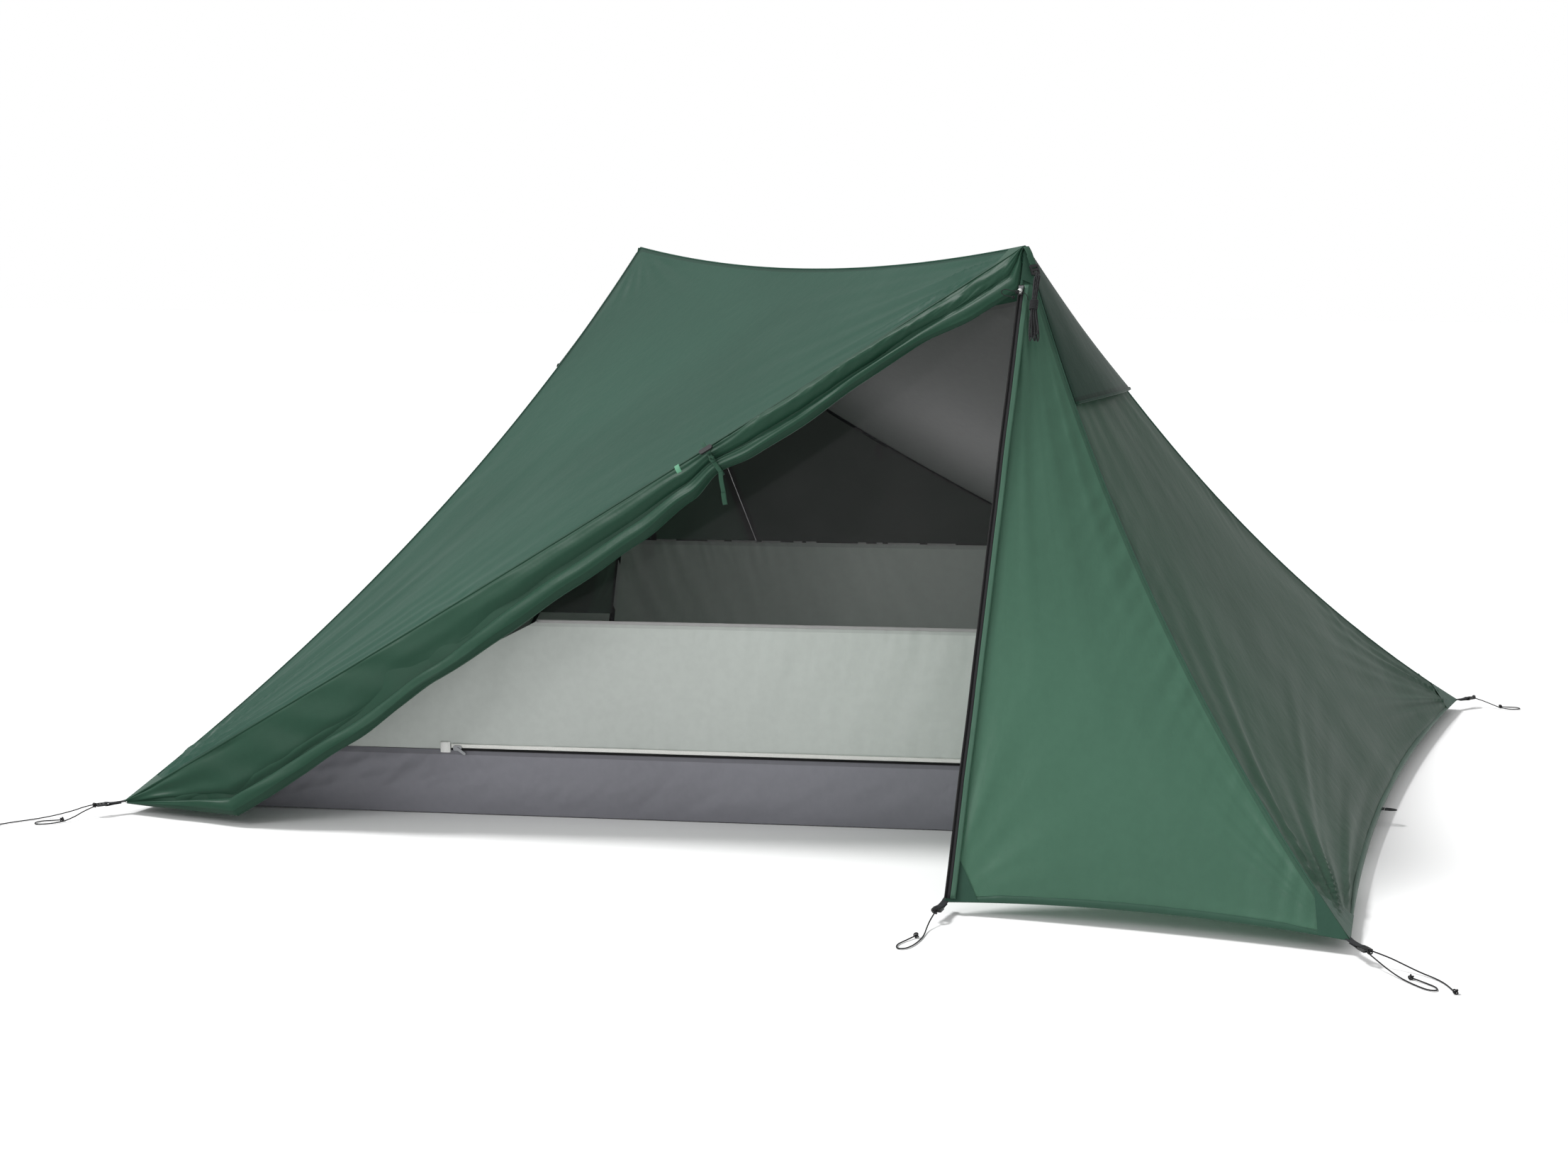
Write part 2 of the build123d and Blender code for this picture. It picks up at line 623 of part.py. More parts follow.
with BuildPart() as inner_zip_front:
    inner_zip(WALL_F, ZL_F, ZT_F)
inner_zip_front.part.label = "inner_zip_front"

with BuildPart() as inner_zip_back:
    inner_zip(WALL_B, ZL_B, ZT_B)
inner_zip_back.part.label = "inner_zip_back"


def inner_slider(wall):
    with BuildSketch(wall.offset(1.6)) as body:
        with Locations((ZIP_X0 + 14, TUB_H + 4)):
            RectangleRounded(18, 11, 3)
    extrude(body.sketch, amount=4)
    with BuildSketch(wall.offset(5.6)) as pull:
        with Locations((ZIP_X0 + 22, TUB_H - 2)):
            SlotOverall(24, 6, rotation=-35)
    extrude(pull.sketch, amount=1.6)


with BuildPart() as inner_slider_front:
    inner_slider(WALL_F)
inner_slider_front.part.label = "inner_slider_front"

with BuildPart() as inner_slider_back:
    inner_slider(WALL_B)
inner_slider_back.part.label = "inner_slider_back"

with BuildPart() as inner_zip_stops:
    for wall in (WALL_F, WALL_B):
        with BuildSketch(wall.offset(0.2)):
            with Locations((ZIP_X0 - 13, TUB_H + 5)):
                Rectangle(24, 24)
        extrude(amount=1.6)
inner_zip_stops.part.label = "inner_zip_stops"


# straps that hold the inner up under the two fly peaks and out at two corners
def strap(p, q, width, thick, side):
    along = (q - p).normalized()
    z = (side - along * side.dot(along)).normalized()
    frame = Plane(origin=p, x_dir=along, z_dir=z)
    with BuildSketch(frame) as band:
        with Locations(((q - p).length / 2, 0)):
            Rectangle((q - p).length, width)
    extrude(band.sketch, amount=thick / 2, both=True)


with BuildPart() as inner_peak_straps:
    strap(Q1 + vec(-6, 6, 2), P1 + vec(-7, 9, -34), 10, 1.4, vec(0, 1, 0))
    strap(Q2 + vec(6, -6, 2), P2 + vec(7, -9, -34), 10, 1.4, vec(0, 1, 0))
inner_peak_straps.part.label = "inner_peak_straps"

with BuildPart() as inner_corner_straps:
    strap(F1 + vec(-3, -3, 8), A + vec(36, 30, -4), 12, 1.6, vec(0, 0, 1))
    strap(F3 + vec(3, 3, 8), D + vec(-36, -30, -4), 12, 1.6, vec(0, 0, 1))
    strap(F2 + vec(3, -2, 8), vec(HL - 62, F2.Y - 20, 20), 12, 1.6, vec(0, 0, 1))
    strap(F4 + vec(-3, 2, 8), vec(-HL + 62, F4.Y + 20, 20), 12, 1.6, vec(0, 0, 1))
inner_corner_straps.part.label = "inner_corner_straps"


# ---------------------------------------------------------------- poles
def pole_frame(foot, peak):
    """Plane at the pole's foot: Z runs up the pole, X points to its clamp lever."""
    up = (peak - foot).normalized()
    return Plane(origin=foot, x_dir=vec(1, 0, 0), z_dir=up)


POLE_TOP_1, POLE_TOP_2 = P1 + vec(0, 0, -25), P2 + vec(0, 0, -25)
POLE_1 = pole_frame(vec(556, -556, 0), POLE_TOP_1)
POLE_2 = pole_frame(vec(-770, 500, 0), POLE_TOP_2)
LEN_1 = (POLE_TOP_1 - POLE_1.origin).length
LEN_2 = (POLE_TOP_2 - POLE_2.origin).length
GRIP_TOP, SHAFT_TOP = 165.0, 640.0


def tip_section(frame, length):
    with BuildSketch(frame.offset(GRIP_TOP + POLE_SLIDE + 12)) as tube:
        Circle(TUBE_R)
    extrude(tube.sketch, amount=length - GRIP_TOP - POLE_SLIDE - 12 - 44)
    with BuildSketch(frame.offset(length - 44)) as cone_base:
        Circle(TUBE_R)
    with BuildSketch(frame.offset(length - 18)) as cone_top:
        Circle(2.8)
    loft([cone_base.sketch.face(), cone_top.sketch.face()])
    extrude(cone_top.sketch, amount=18)


with BuildPart() as pole_front_tip:
    tip_section(POLE_1, LEN_1)
pole_front_tip.part.label = "pole_front_tip"

with BuildPart() as pole_back_tip:
    tip_section(POLE_2, LEN_2)
pole_back_tip.part.label = "pole_back_tip"


def lower_shaft(frame):
    with BuildSketch(frame.offset(GRIP_TOP)) as ring:
        Circle(SHAFT_R)
        Circle(TUBE_R + 0.4, mode=Mode.SUBTRACT)
    extrude(ring.sketch, amount=SHAFT_TOP - GRIP_TOP)


with BuildPart() as pole_front_shaft:
    lower_shaft(POLE_1)
pole_front_shaft.part.label = "pole_front_shaft"

with BuildPart() as pole_back_shaft:
    lower_shaft(POLE_2)
pole_back_shaft.part.label = "pole_back_shaft"


def grip(frame):
    """Foam grip with a domed knob that stands on the ground."""
    half = Plane(origin=frame.origin, x_dir=frame.x_dir, z_dir=frame.x_dir.cross(frame.z_dir))
    with BuildSketch(half) as profile:
        with BuildLine():
            Polyline((0, 0.8), (9, 0.8), (GRIP_R + 2, 9), (GRIP_R + 2, 24), (GRIP_R - 2, 42),
                     (GRIP_R, 80), (GRIP_R - 2, 118), (GRIP_R - 2.5, 160), (SHAFT_R, GRIP_TOP),
                     (0, GRIP_TOP), close=True)
        make_face()
    revolve(profile.sketch, axis=Axis(frame.origin, frame.z_dir), revolution_arc=360)


with BuildPart() as pole_front_grip:
    grip(POLE_1)
pole_front_grip.part.label = "pole_front_grip"

with BuildPart() as pole_back_grip:
    grip(POLE_2)
pole_back_grip.part.label = "pole_back_grip"


def clamp_body(frame):
    with BuildSketch(frame.offset(SHAFT_TOP - 34)) as collar:
        Circle(SHAFT_R + 3.5)
        Circle(SHAFT_R + 0.05, mode=Mode.SUBTRACT)
    extrude(collar.sketch, amount=30)
    with BuildSketch(frame.offset(SHAFT_TOP - 27)) as lug:
        with Locations((SHAFT_R + 7.5, 0)):
            Rectangle(10, 8)
    extrude(lug.sketch, amount=16)


with BuildPart() as pole_front_clamp:
    clamp_body(POLE_1)
pole_front_clamp.part.label = "pole_front_clamp"

with BuildPart() as pole_back_clamp:
    clamp_body(POLE_2)
pole_back_clamp.part.label = "pole_back_clamp"

LEVER_X, LEVER_Z = SHAFT_R + 15.0, SHAFT_TOP - 19.0


def lever(frame):
    """Clamp lever, closed: it pivots about the pole-parallel pin and wraps along the clamp."""
    with BuildSketch(frame.offset(SHAFT_TOP - 26)) as outline:
        with BuildLine():
            Polyline((LEVER_X - 1.7, -4), (LEVER_X + 2, -4), (LEVER_X + 3, 6), (LEVER_X - 5, 22),
                     (LEVER_X - 9, 24), (LEVER_X - 8, 18), (LEVER_X - 1.7, 8), close=True)
        make_face()
    extrude(outline.sketch, amount=14)


with BuildPart() as pole_front_lever:
    lever(POLE_1)
pole_front_lever.part.label = "pole_front_lever"

with BuildPart() as pole_back_lever:
    lever(POLE_2)
pole_back_lever.part.label = "pole_back_lever"


# ---------------------------------------------------------------- loose cords
def cord_path(points, name):
    """Straight runs joined by arcs, each arc as large as its two runs allow."""
    pts = [vec(*p) for p in points]
    radii = []
    for a, b, c in zip(pts, pts[1:], pts[2:]):
        turn = math.radians((b - a).get_angle(c - b))
        run = min((b - a).length, (c - b).length)
        radii.append(0.45 * run / math.tan(turn / 2))
    length = sum((b - a).length for a, b in zip(pts, pts[1:]))
    print(name, "route", round(length), "radii", [round(r, 1) for r in radii])
    return pts, radii


def cord_tube(points, name, dia=CORD_D):
    pts, radii = cord_path(points, name)
    with BuildLine() as route:
        FilletPolyline(*[tuple(p) for p in pts], radius=radii)
    wire = route.wires()[0]
    with BuildSketch(Plane(origin=wire @ 0, z_dir=wire % 0)) as section:
        Circle(dia / 2)
    sweep(section.sketch, path=wire)
    print("   tube length", round(wire.length, 1))


GZ = 1.6                                     # a cord's centre when it lies on the ground
CORD_AT = TAB_LEN + 27.6                     # the cords leave just past the adjuster's bar
ax, ay = (A + OUT_A.normalized() * CORD_AT).X, (A + OUT_A.normalized() * CORD_AT).Y
cx, cy = -ax, ay
dx, dy = -ax, -ay
bx, by = B.X + 1, B.Y - CORD_AT

CORD_A_LOOP = [(ax + 3, ay - 2, 24), (ax - 12, ay - 18, 17), (ax - 22, ay - 42, 7), (ax - 33, ay - 66, 2),
               (ax - 50, ay - 86, GZ), (ax - 70, ay - 100, GZ), (ax - 84, ay - 92, GZ),
               (ax - 80, ay - 74, GZ), (ax - 60, ay - 62, GZ), (ax - 42, ay - 55, 3)]
CORD_A_TAIL = [(ax - 5, ay + 4, 25), (ax - 26, ay - 1, 20), (ax - 46, ay - 12, 12), (ax - 78, ay - 38, 4),
               (ax - 104, ay - 70, GZ), (ax - 128, ay - 100, GZ), (ax - 146, ay - 132, GZ)]
CORD_C_LOOP = [(cx - 3, cy - 2, 24), (cx + 14, cy - 16, 17), (cx + 34, cy - 30, 8), (cx + 56, cy - 48, 2),
               (cx + 80, cy - 72, GZ), (cx + 103, cy - 90, GZ), (cx + 118, cy - 88, GZ),
               (cx + 116, cy - 72, GZ), (cx + 96, cy - 56, GZ), (cx + 72, cy - 42, 3)]
CORD_C_TAIL = [(cx + 5, cy + 4, 25), (cx + 30, cy, 20), (cx + 56, cy - 6, 12), (cx + 84, cy - 14, 4),
               (cx + 112, cy - 30, GZ), (cx + 132, cy - 56, GZ), (cx + 146, cy - 88, GZ)]
CORD_D_LOOP = [(dx, dy, 24), (dx + 18, dy + 4, 19), (dx + 42, dy + 2, 11), (dx + 66, dy - 4, 4),
               (dx + 90, dy - 6, GZ), (dx + 110, dy + 2, GZ), (dx + 116, dy + 16, GZ),
               (dx + 104, dy + 26, GZ), (dx + 84, dy + 22, GZ), (dx + 66, dy + 12, 3)]
CORD_B_LOOP = [(bx, by, 21), (bx - 2, by - 20, 14), (bx - 1, by - 46, 5), (bx + 4, by - 74, GZ),
               (bx + 6, by - 104, GZ), (bx + 4, by - 136, GZ), (bx - 4, by - 158, GZ),
               (bx - 18, by - 160, GZ), (bx - 24, by - 140, GZ), (bx - 16, by - 112, GZ),
               (bx - 6, by - 88, 4)]

# a thin cord tied in a bow through the front slider's pull
BEAD = (ZIP_F.offset(ZIP_OFF + 11.0).origin + ZIP_F.x_dir * (ZIP_TOP + 16)
        + ZIP_F.z_dir.cross(ZIP_F.x_dir) * ZIP_SIDE)
kx, ky, kz = BEAD.X, BEAD.Y, BEAD.Z
PULL_CORD = [(kx + 18, ky - 6, kz - 17), (kx + 17, ky - 7, kz - 8), (kx + 10, ky - 8, kz - 3),
             (kx, ky - 8, kz - 1), (kx - 14, ky - 8, kz), (kx - 28, ky - 7, kz + 4),
             (kx - 37, ky - 6, kz - 1), (kx - 32, ky - 6, kz - 8), (kx - 20, ky - 8, kz - 10),
             (kx - 10, ky - 10, kz - 12)]

with BuildPart() as pull_cord:
    cord_tube(PULL_CORD, "pull_cord", 1.4)
pull_cord.part.label = "pull_cord"

with BuildPart() as cord_a_loop:
    cord_tube(CORD_A_LOOP, "cord_a_loop")
cord_a_loop.part.label = "cord_a_loop"

with BuildPart() as cord_a_tail:
    cord_tube(CORD_A_TAIL, "cord_a_tail")
cord_a_tail.part.label = "cord_a_tail"

with BuildPart() as cord_c_loop:
    cord_tube(CORD_C_LOOP, "cord_c_loop")
cord_c_loop.part.label = "cord_c_loop"

with BuildPart() as cord_c_tail:
    cord_tube(CORD_C_TAIL, "cord_c_tail")
cord_c_tail.part.label = "cord_c_tail"

with BuildPart() as cord_d_loop:
    cord_tube(CORD_D_LOOP, "cord_d_loop")
cord_d_loop.part.label = "cord_d_loop"

with BuildPart() as cord_b_loop:
    cord_tube(CORD_B_LOOP, "cord_b_loop")
cord_b_loop.part.label = "cord_b_loop"

# ---------------------------------------------------------------- export
PARTS = [fly_roof_front, fly_roof_back, fly_end_right, fly_end_left, fly_fixed_front, fly_fixed_back,
         fly_door_back, fly_door_front, fly_zip_front, fly_zip_back, fly_slider_front, fly_slider_back,
         vent_hood_right, vent_hood_left, vent_strut_right, vent_strut_left, hem_tabs, hem_adjusters,
         peak_guy_tabs, peak_guy_adjusters, peak_guy_hank, door_tie_loop, door_tie_toggle,
         door_tie_strap, inner_roof_front, inner_roof_back, inner_end_right, inner_end_left, inner_floor,
         inner_mesh_front, inner_mesh_back, inner_skirt_front, inner_skirt_back, inner_tub_front,
         inner_tub_back, inner_tub_ends, inner_zip_front, inner_zip_back,
         inner_slider_front, inner_slider_back, inner_zip_stops, inner_peak_straps, inner_corner_straps,
         pole_front_tip, pole_back_tip, pole_front_shaft, pole_back_shaft, pole_front_grip,
         pole_back_grip, pole_front_clamp, pole_back_clamp, pole_front_lever, pole_back_lever,
         pull_cord, cord_a_loop, cord_a_tail, cord_c_loop, cord_c_tail, cord_d_loop, cord_b_loop]
for piece in PARTS:
    export_step(piece.part, "parts/" + piece.part.label + ".step")
print(len(PARTS), "nodes")
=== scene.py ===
"""Looks of a two-person tent pitched on two trekking poles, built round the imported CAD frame.

Lengths are in metres. X runs along the tent, the open door is on the -Y side and Z is up.
"""
import math

import bpy
from mathutils import Matrix, Vector, noise


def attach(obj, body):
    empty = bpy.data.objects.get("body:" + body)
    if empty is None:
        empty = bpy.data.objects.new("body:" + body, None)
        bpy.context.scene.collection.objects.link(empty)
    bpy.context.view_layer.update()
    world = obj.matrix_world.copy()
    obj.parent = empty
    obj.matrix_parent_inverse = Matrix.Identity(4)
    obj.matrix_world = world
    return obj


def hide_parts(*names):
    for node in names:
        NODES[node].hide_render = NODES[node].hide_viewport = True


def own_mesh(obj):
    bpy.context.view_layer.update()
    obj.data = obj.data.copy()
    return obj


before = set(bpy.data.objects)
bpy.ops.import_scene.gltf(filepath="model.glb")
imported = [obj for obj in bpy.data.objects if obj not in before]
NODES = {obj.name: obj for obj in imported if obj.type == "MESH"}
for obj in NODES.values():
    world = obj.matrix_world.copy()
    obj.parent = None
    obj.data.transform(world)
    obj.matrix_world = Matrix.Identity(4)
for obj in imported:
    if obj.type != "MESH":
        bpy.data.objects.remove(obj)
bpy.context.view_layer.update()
scene = bpy.context.scene
scene.view_settings.view_transform = "Standard"
scene.view_settings.look = "None"


def mm(x, y, z):
    return Vector((x, y, z)) * 0.001


# ------------------------------------------------------------------ camera
CAM_YAW, CAM_PITCH, CAM_ROLL = math.radians(-21.998), math.radians(9.042), math.radians(-0.208)
CAM_AT, CAM_LENS = (1.6964, -4.6401, 1.1885), 49.216
look = Vector((math.sin(CAM_YAW) * math.cos(CAM_PITCH), math.cos(CAM_YAW) * math.cos(CAM_PITCH),
               -math.sin(CAM_PITCH)))
right = Vector((math.cos(CAM_YAW), -math.sin(CAM_YAW), 0))
up = right.cross(look)
right, up = (right * math.cos(CAM_ROLL) + up * math.sin(CAM_ROLL),
             up * math.cos(CAM_ROLL) - right * math.sin(CAM_ROLL))
cam_data = bpy.data.cameras.new("camera")
cam_data.sensor_width, cam_data.lens = 36.0, CAM_LENS
cam_data.clip_end = 200
camera = bpy.data.objects.new("camera", cam_data)
scene.collection.objects.link(camera)
camera.matrix_world = Matrix.Translation(CAM_AT) @ Matrix(
    (right, up, -look)).transposed().to_4x4()
scene.camera = camera


# ------------------------------------------------------------------ small helpers
def srgb(r, g, b):
    """Linear colour for a colour named by its 0-255 display values."""
    return tuple(((c / 255 + 0.055) / 1.055) ** 2.4 if c > 10 else c / 255 / 12.92
                 for c in (r, g, b)) + (1.0,)


def smooth(x, lo=0.0, hi=1.0):
    x = min(1.0, max(0.0, (x - lo) / (hi - lo)))
    return x * x * (3 - 2 * x)


def make_object(name, verts, faces, mat, body="tent", uvs=None, edge=None):
    """Mesh object from lists; uvs and edge hold one value for each vertex."""
    mesh = bpy.data.meshes.new(name)
    mesh.from_pydata([tuple(v) for v in verts], [], faces)
    mesh.polygons.foreach_set("use_smooth", [True] * len(mesh.polygons))
    if uvs:
        layer = mesh.uv_layers.new(name="cloth")
        for loop in mesh.loops:
            layer.data[loop.index].uv = uvs[loop.vertex_index]
    attr = mesh.attributes.new("edge", "FLOAT", "POINT")
    attr.data.foreach_set("value", edge or [1.0] * len(verts))
    mesh.validate()
    mesh.update()
    obj = bpy.data.objects.new(name, mesh)
    scene.collection.objects.link(obj)
    obj.data.materials.append(mat)
    if body:
        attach(obj, body)
    return obj


def grid_faces(rows, cols, wrap=False):
    faces = []
    for i in range(rows - 1):
        for j in range(cols if wrap else cols - 1):
            k = (j + 1) % cols
            faces.append((i * cols + j, i * cols + k, (i + 1) * cols + k, (i + 1) * cols + j))
    return faces


def solid_grid(name, rows, mat, body="tent", cyclic=False, caps=True, uvs=None):
    """Closed skin over rings of equal length."""
    cols = len(rows[0])
    verts = [v for r in rows for v in r]
    faces = grid_faces(len(rows), cols, wrap=True)
    if cyclic:
        last = (len(rows) - 1) * cols
        faces += [(last + j, last + (j + 1) % cols, (j + 1) % cols, j) for j in range(cols)]
    elif caps:
        faces += [tuple(reversed(range(cols))), tuple(range(len(verts) - cols, len(verts)))]
    return make_object(name, verts, faces, mat, body, uvs)


def frames_along(points, hint):
    """Unit side and normal at each point of a path; the normal stays near hint."""
    out = []
    last = len(points) - 1
    for i in range(len(points)):
        t = (points[min(i + 1, last)] - points[max(i - 1, 0)]).normalized()
        h = hint[i] if isinstance(hint, list) else hint
        nrm = (h - t * h.dot(t)).normalized()
        out.append((t.cross(nrm), nrm))
    return out


def strap(name, points, width, thick, hint, mat, body="tent"):
    """Woven band with rounded edges that follows points; hint is roughly its face normal."""
    rows = []
    for p, (side, nrm) in zip(points, frames_along(points, hint)):
        w, h = width / 2, thick / 2
        ring = [(-w, 0), (-w * 0.94, h), (-w * 0.5, h), (0, h), (w * 0.5, h), (w * 0.94, h), (w, 0),
                (w * 0.94, -h), (w * 0.5, -h), (0, -h), (-w * 0.5, -h), (-w * 0.94, -h)]
        rows.append([p + side * a + nrm * b for a, b in ring])
    return solid_grid(name, rows, mat, body)


def tube(name, points, radius, mat, body="tent", closed=False, sides=10):
    """Round tube; radius is one number or one for each point."""
    hint = Vector((0.12, 0.3, 1)).normalized()
    rows = []
    nrm = None
    n = len(points)
    for i, p in enumerate(points):
        a = points[(i - 1) % n if closed else max(i - 1, 0)]
        b = points[(i + 1) % n if closed else min(i + 1, n - 1)]
        t = (b - a).normalized()
        nrm = nrm or (hint - t * hint.dot(t)).normalized()
        nrm = (nrm - t * nrm.dot(t)).normalized()
        side = t.cross(nrm)
        r = radius[i] if isinstance(radius, list) else radius
        rows.append([p + (side * math.cos(q) + nrm * math.sin(q)) * r
                     for q in (2 * math.pi * k / sides for k in range(sides))])
    return solid_grid(name, rows, mat, body, cyclic=closed)


def bowed(p, q, sag, t):
    return p * (1 - t) + q * t + sag * (4 * t * (1 - t))


def catmull(points, n):
    """n points along a smooth line through a short list of vectors."""
    pts = [points[0] * 2 - points[1]] + list(points) + [points[-1] * 2 - points[-2]]
    out = []
    for k in range(n):
        x = k / (n - 1) * (len(points) - 1)
        i = min(int(x), len(points) - 2)
        f = x - i
        a, b, c, d = pts[i:i + 4]
        out.append((b * 2 + (c - a) * f + (a * 2 - b * 5 + c * 4 - d) * f ** 2
                    + (b * 3 - a - c * 3 + d) * f ** 3) * 0.5)
    return out


def wave(x, y=0.0, z=0.0):
    """Smooth seeded noise from -1 to 1."""
    return noise.noise(Vector((x, y, z)))


# ------------------------------------------------------------------ materials
class Shader:
    """Short names for building a node material."""

    def __init__(self, name):
        self.mat = bpy.data.materials.new(name)
        self.mat.use_nodes = True
        self.tree = self.mat.node_tree
        self.tree.nodes.clear()
        self.out = self.add("ShaderNodeOutputMaterial")
        self.bsdf = self.add("ShaderNodeBsdfPrincipled")
        self.tree.links.new(self.bsdf.outputs[0], self.out.inputs[0])
        self.coord = self.add("ShaderNodeTexCoord")

    def add(self, kind, **values):
        node = self.tree.nodes.new(kind)
        for key, value in values.items():
            setattr(node, key, value)
        return node

    def set(self, **values):
        for key, value in values.items():
            self.bsdf.inputs[key.replace("_", " ")].default_value = value
        return self

    def link(self, a, b):
        self.tree.links.new(a, b)

    def mapped(self, source="Object", scale=(1, 1, 1), turn=(0, 0, 0)):
        m = self.add("ShaderNodeMapping")
        m.inputs["Scale"].default_value = scale
        m.inputs["Rotation"].default_value = turn
        self.link(self.coord.outputs[source], m.inputs["Vector"])
        return m.outputs[0]

    def noise(self, scale, detail=3.0, vector=None, rough=0.5, distortion=0.0):
        n = self.add("ShaderNodeTexNoise")
        n.inputs["Scale"].default_value = scale
        n.inputs["Detail"].default_value = detail
        n.inputs["Roughness"].default_value = rough
        n.inputs["Distortion"].default_value = distortion
        self.link(vector or self.coord.outputs["Object"], n.inputs["Vector"])
        return n.outputs["Fac"]

    def bands(self, scale, vector, direction="X", profile="SIN"):
        n = self.add("ShaderNodeTexWave", wave_type="BANDS", bands_direction=direction,
                     wave_profile=profile)
        n.inputs["Scale"].default_value = scale
        self.link(vector, n.inputs["Vector"])
        return n.outputs["Fac"]

    def ramp(self, fac, *stops):
        n = self.add("ShaderNodeValToRGB")
        els = n.color_ramp.elements
        while len(els) < len(stops):
            els.new(0.5)
        for el, (pos, col) in zip(els, stops):
            el.position, el.color = pos, col
        self.link(fac, n.inputs["Fac"])
        return n.outputs["Color"]

    def math(self, op, a, b, clamp=False):
        n = self.add("ShaderNodeMath", operation=op, use_clamp=clamp)
        for socket, v in zip(n.inputs, (a, b)):
            if isinstance(v, (int, float)):
                socket.default_value = v
            else:
                self.link(v, socket)
        return n.outputs[0]

    def mix(self, fac, a, b, mode="MIX"):
        n = self.add("ShaderNodeMix", data_type="RGBA", blend_type=mode)
        for socket, v in ((n.inputs[0], fac), (n.inputs[6], a), (n.inputs[7], b)):
            if isinstance(v, (int, float, tuple)):
                socket.default_value = v
            else:
                self.link(v, socket)
        return n.outputs[2]

    def bump(self, *layers):
        """layers of (height, strength, distance), the coarsest last."""
        last = None
        for height, strength, distance in layers:
            n = self.add("ShaderNodeBump")
            n.inputs["Strength"].default_value = strength
            n.inputs["Distance"].default_value = distance
            self.link(height, n.inputs["Height"])
            if last:
                self.link(last, n.inputs["Normal"])
            last = n.outputs[0]
        return last

    def colour(self, socket):
        self.link(socket, self.bsdf.inputs["Base Color"])

    def normal(self, socket):
        self.link(socket, self.bsdf.inputs["Normal"])


def shade(c, k):
    return (c[0] * k, c[1] * k, c[2] * k, 1.0)


def cloth(name, colour, through=0.0, rough=0.41, seam=0.72, hi=1.10, lo=0.86, crinkle=0.35,
          painted_shade_tint=None, shine=0.15):
    """Thin coated fabric: plain weave, soft crinkle, darker where two layers are sewn together."""
    s = Shader(name)
    s.set(Roughness=rough, IOR=1.46, Specular_IOR_Level=shine, Sheen_Weight=0.03, Sheen_Roughness=0.4)
    s.bsdf.inputs["Sheen Tint"].default_value = (0.8, 1, 0.9, 1)
    broad = s.noise(1.5, 2.0)
    col = s.ramp(broad, (0.30, shade(colour, lo)), (0.70, shade(colour, hi)))
    # painted shade: a second tint mixed in by broad noise, standing for shade seen through the translucent
    # cloth
    if painted_shade_tint:
        col = s.mix(s.noise(0.9, 1.0, s.mapped(turn=(0.4, 0.9, 0.2))), col, painted_shade_tint)
    dye = s.noise(60, 2.0)
    col = s.mix(0.10, col, s.ramp(dye, (0.35, shade(colour, 0.8)), (0.65, shade(colour, 1.15))))
    attr = s.add("ShaderNodeAttribute", attribute_name="edge")
    band = s.math("LESS_THAN", attr.outputs["Fac"], 0.011)
    col = s.mix(band, col, s.mix(1.0, col, (seam, seam, seam, 1), "MULTIPLY"))
    s.colour(col)
    uv = s.mapped("UV")
    weave = s.math("ADD", s.bands(500, uv, "X"), s.bands(500, uv, "Y"))
    fine = s.noise(26, 3.0, s.mapped(scale=(1, 1, 0.45)), 0.6)
    s.normal(s.bump((weave, 0.06, 0.0002), (fine, crinkle, 0.0035)))
    rough_map = s.math("ADD", s.math("MULTIPLY", s.noise(7, 2.0), 0.12), rough - 0.06)
    s.link(rough_map, s.bsdf.inputs["Roughness"])
    if through:
        lit = s.add("ShaderNodeBsdfTranslucent")
        s.link(s.mix(1.0, col, (1.0, 1.12, 1.0, 1), "MULTIPLY"), lit.inputs["Color"])
        mixer = s.add("ShaderNodeMixShader")
        mixer.inputs[0].default_value = through
        s.link(s.bsdf.outputs[0], mixer.inputs[1])
        s.link(lit.outputs[0], mixer.inputs[2])
        s.link(mixer.outputs[0], s.out.inputs[0])
    return s.mat


def mesh_cloth(name, colour, cover=0.72):
    """Insect netting: black threads with open holes between them."""
    s = Shader(name)
    s.set(Roughness=0.85, Specular_IOR_Level=0.2)
    s.colour(s.ramp(s.noise(3.0, 2.0), (0.3, shade(colour, 0.8)), (0.7, shade(colour, 1.2))))
    uv = s.mapped("UV")
    holes = s.math("MULTIPLY", s.bands(300, uv, "X"), s.bands(300, uv, "Y"))
    soft = s.math("MULTIPLY", s.noise(5, 2.0), 0.06)
    alpha = s.math("SUBTRACT", s.math("ADD", soft, cover + 0.01), s.math("MULTIPLY", holes, 0.12))
    s.link(alpha, s.bsdf.inputs["Alpha"])
    return s.mat


def webbing(name, colour, pitch=420, rough=0.75):
    s = Shader(name)
    s.set(Roughness=rough, Specular_IOR_Level=0.15, Sheen_Weight=0.04)
    v = s.mapped(turn=(0.3, 0.2, 0.6))
    ribs = s.bands(pitch, v, "DIAGONAL")
    s.colour(s.mix(ribs, shade(colour, 0.75), shade(colour, 1.25)))
    s.normal(s.bump((ribs, 0.5, 0.0004), (s.noise(180, 2.0), 0.3, 0.0003)))
    return s.mat


def moulded(name, colour, rough=0.42, grain=900, metal=0.0):
    s = Shader(name)
    s.set(Metallic=metal, IOR=1.49)
    s.colour(s.ramp(s.noise(35, 3.0), (0.35, shade(colour, 0.9)), (0.65, shade(colour, 1.1))))
    s.link(s.math("ADD", s.math("MULTIPLY", s.noise(70, 2.0), 0.14), rough - 0.07),
           s.bsdf.inputs["Roughness"])
    s.normal(s.bump((s.noise(grain, 2.0), 0.12, 0.0003)))
    return s.mat


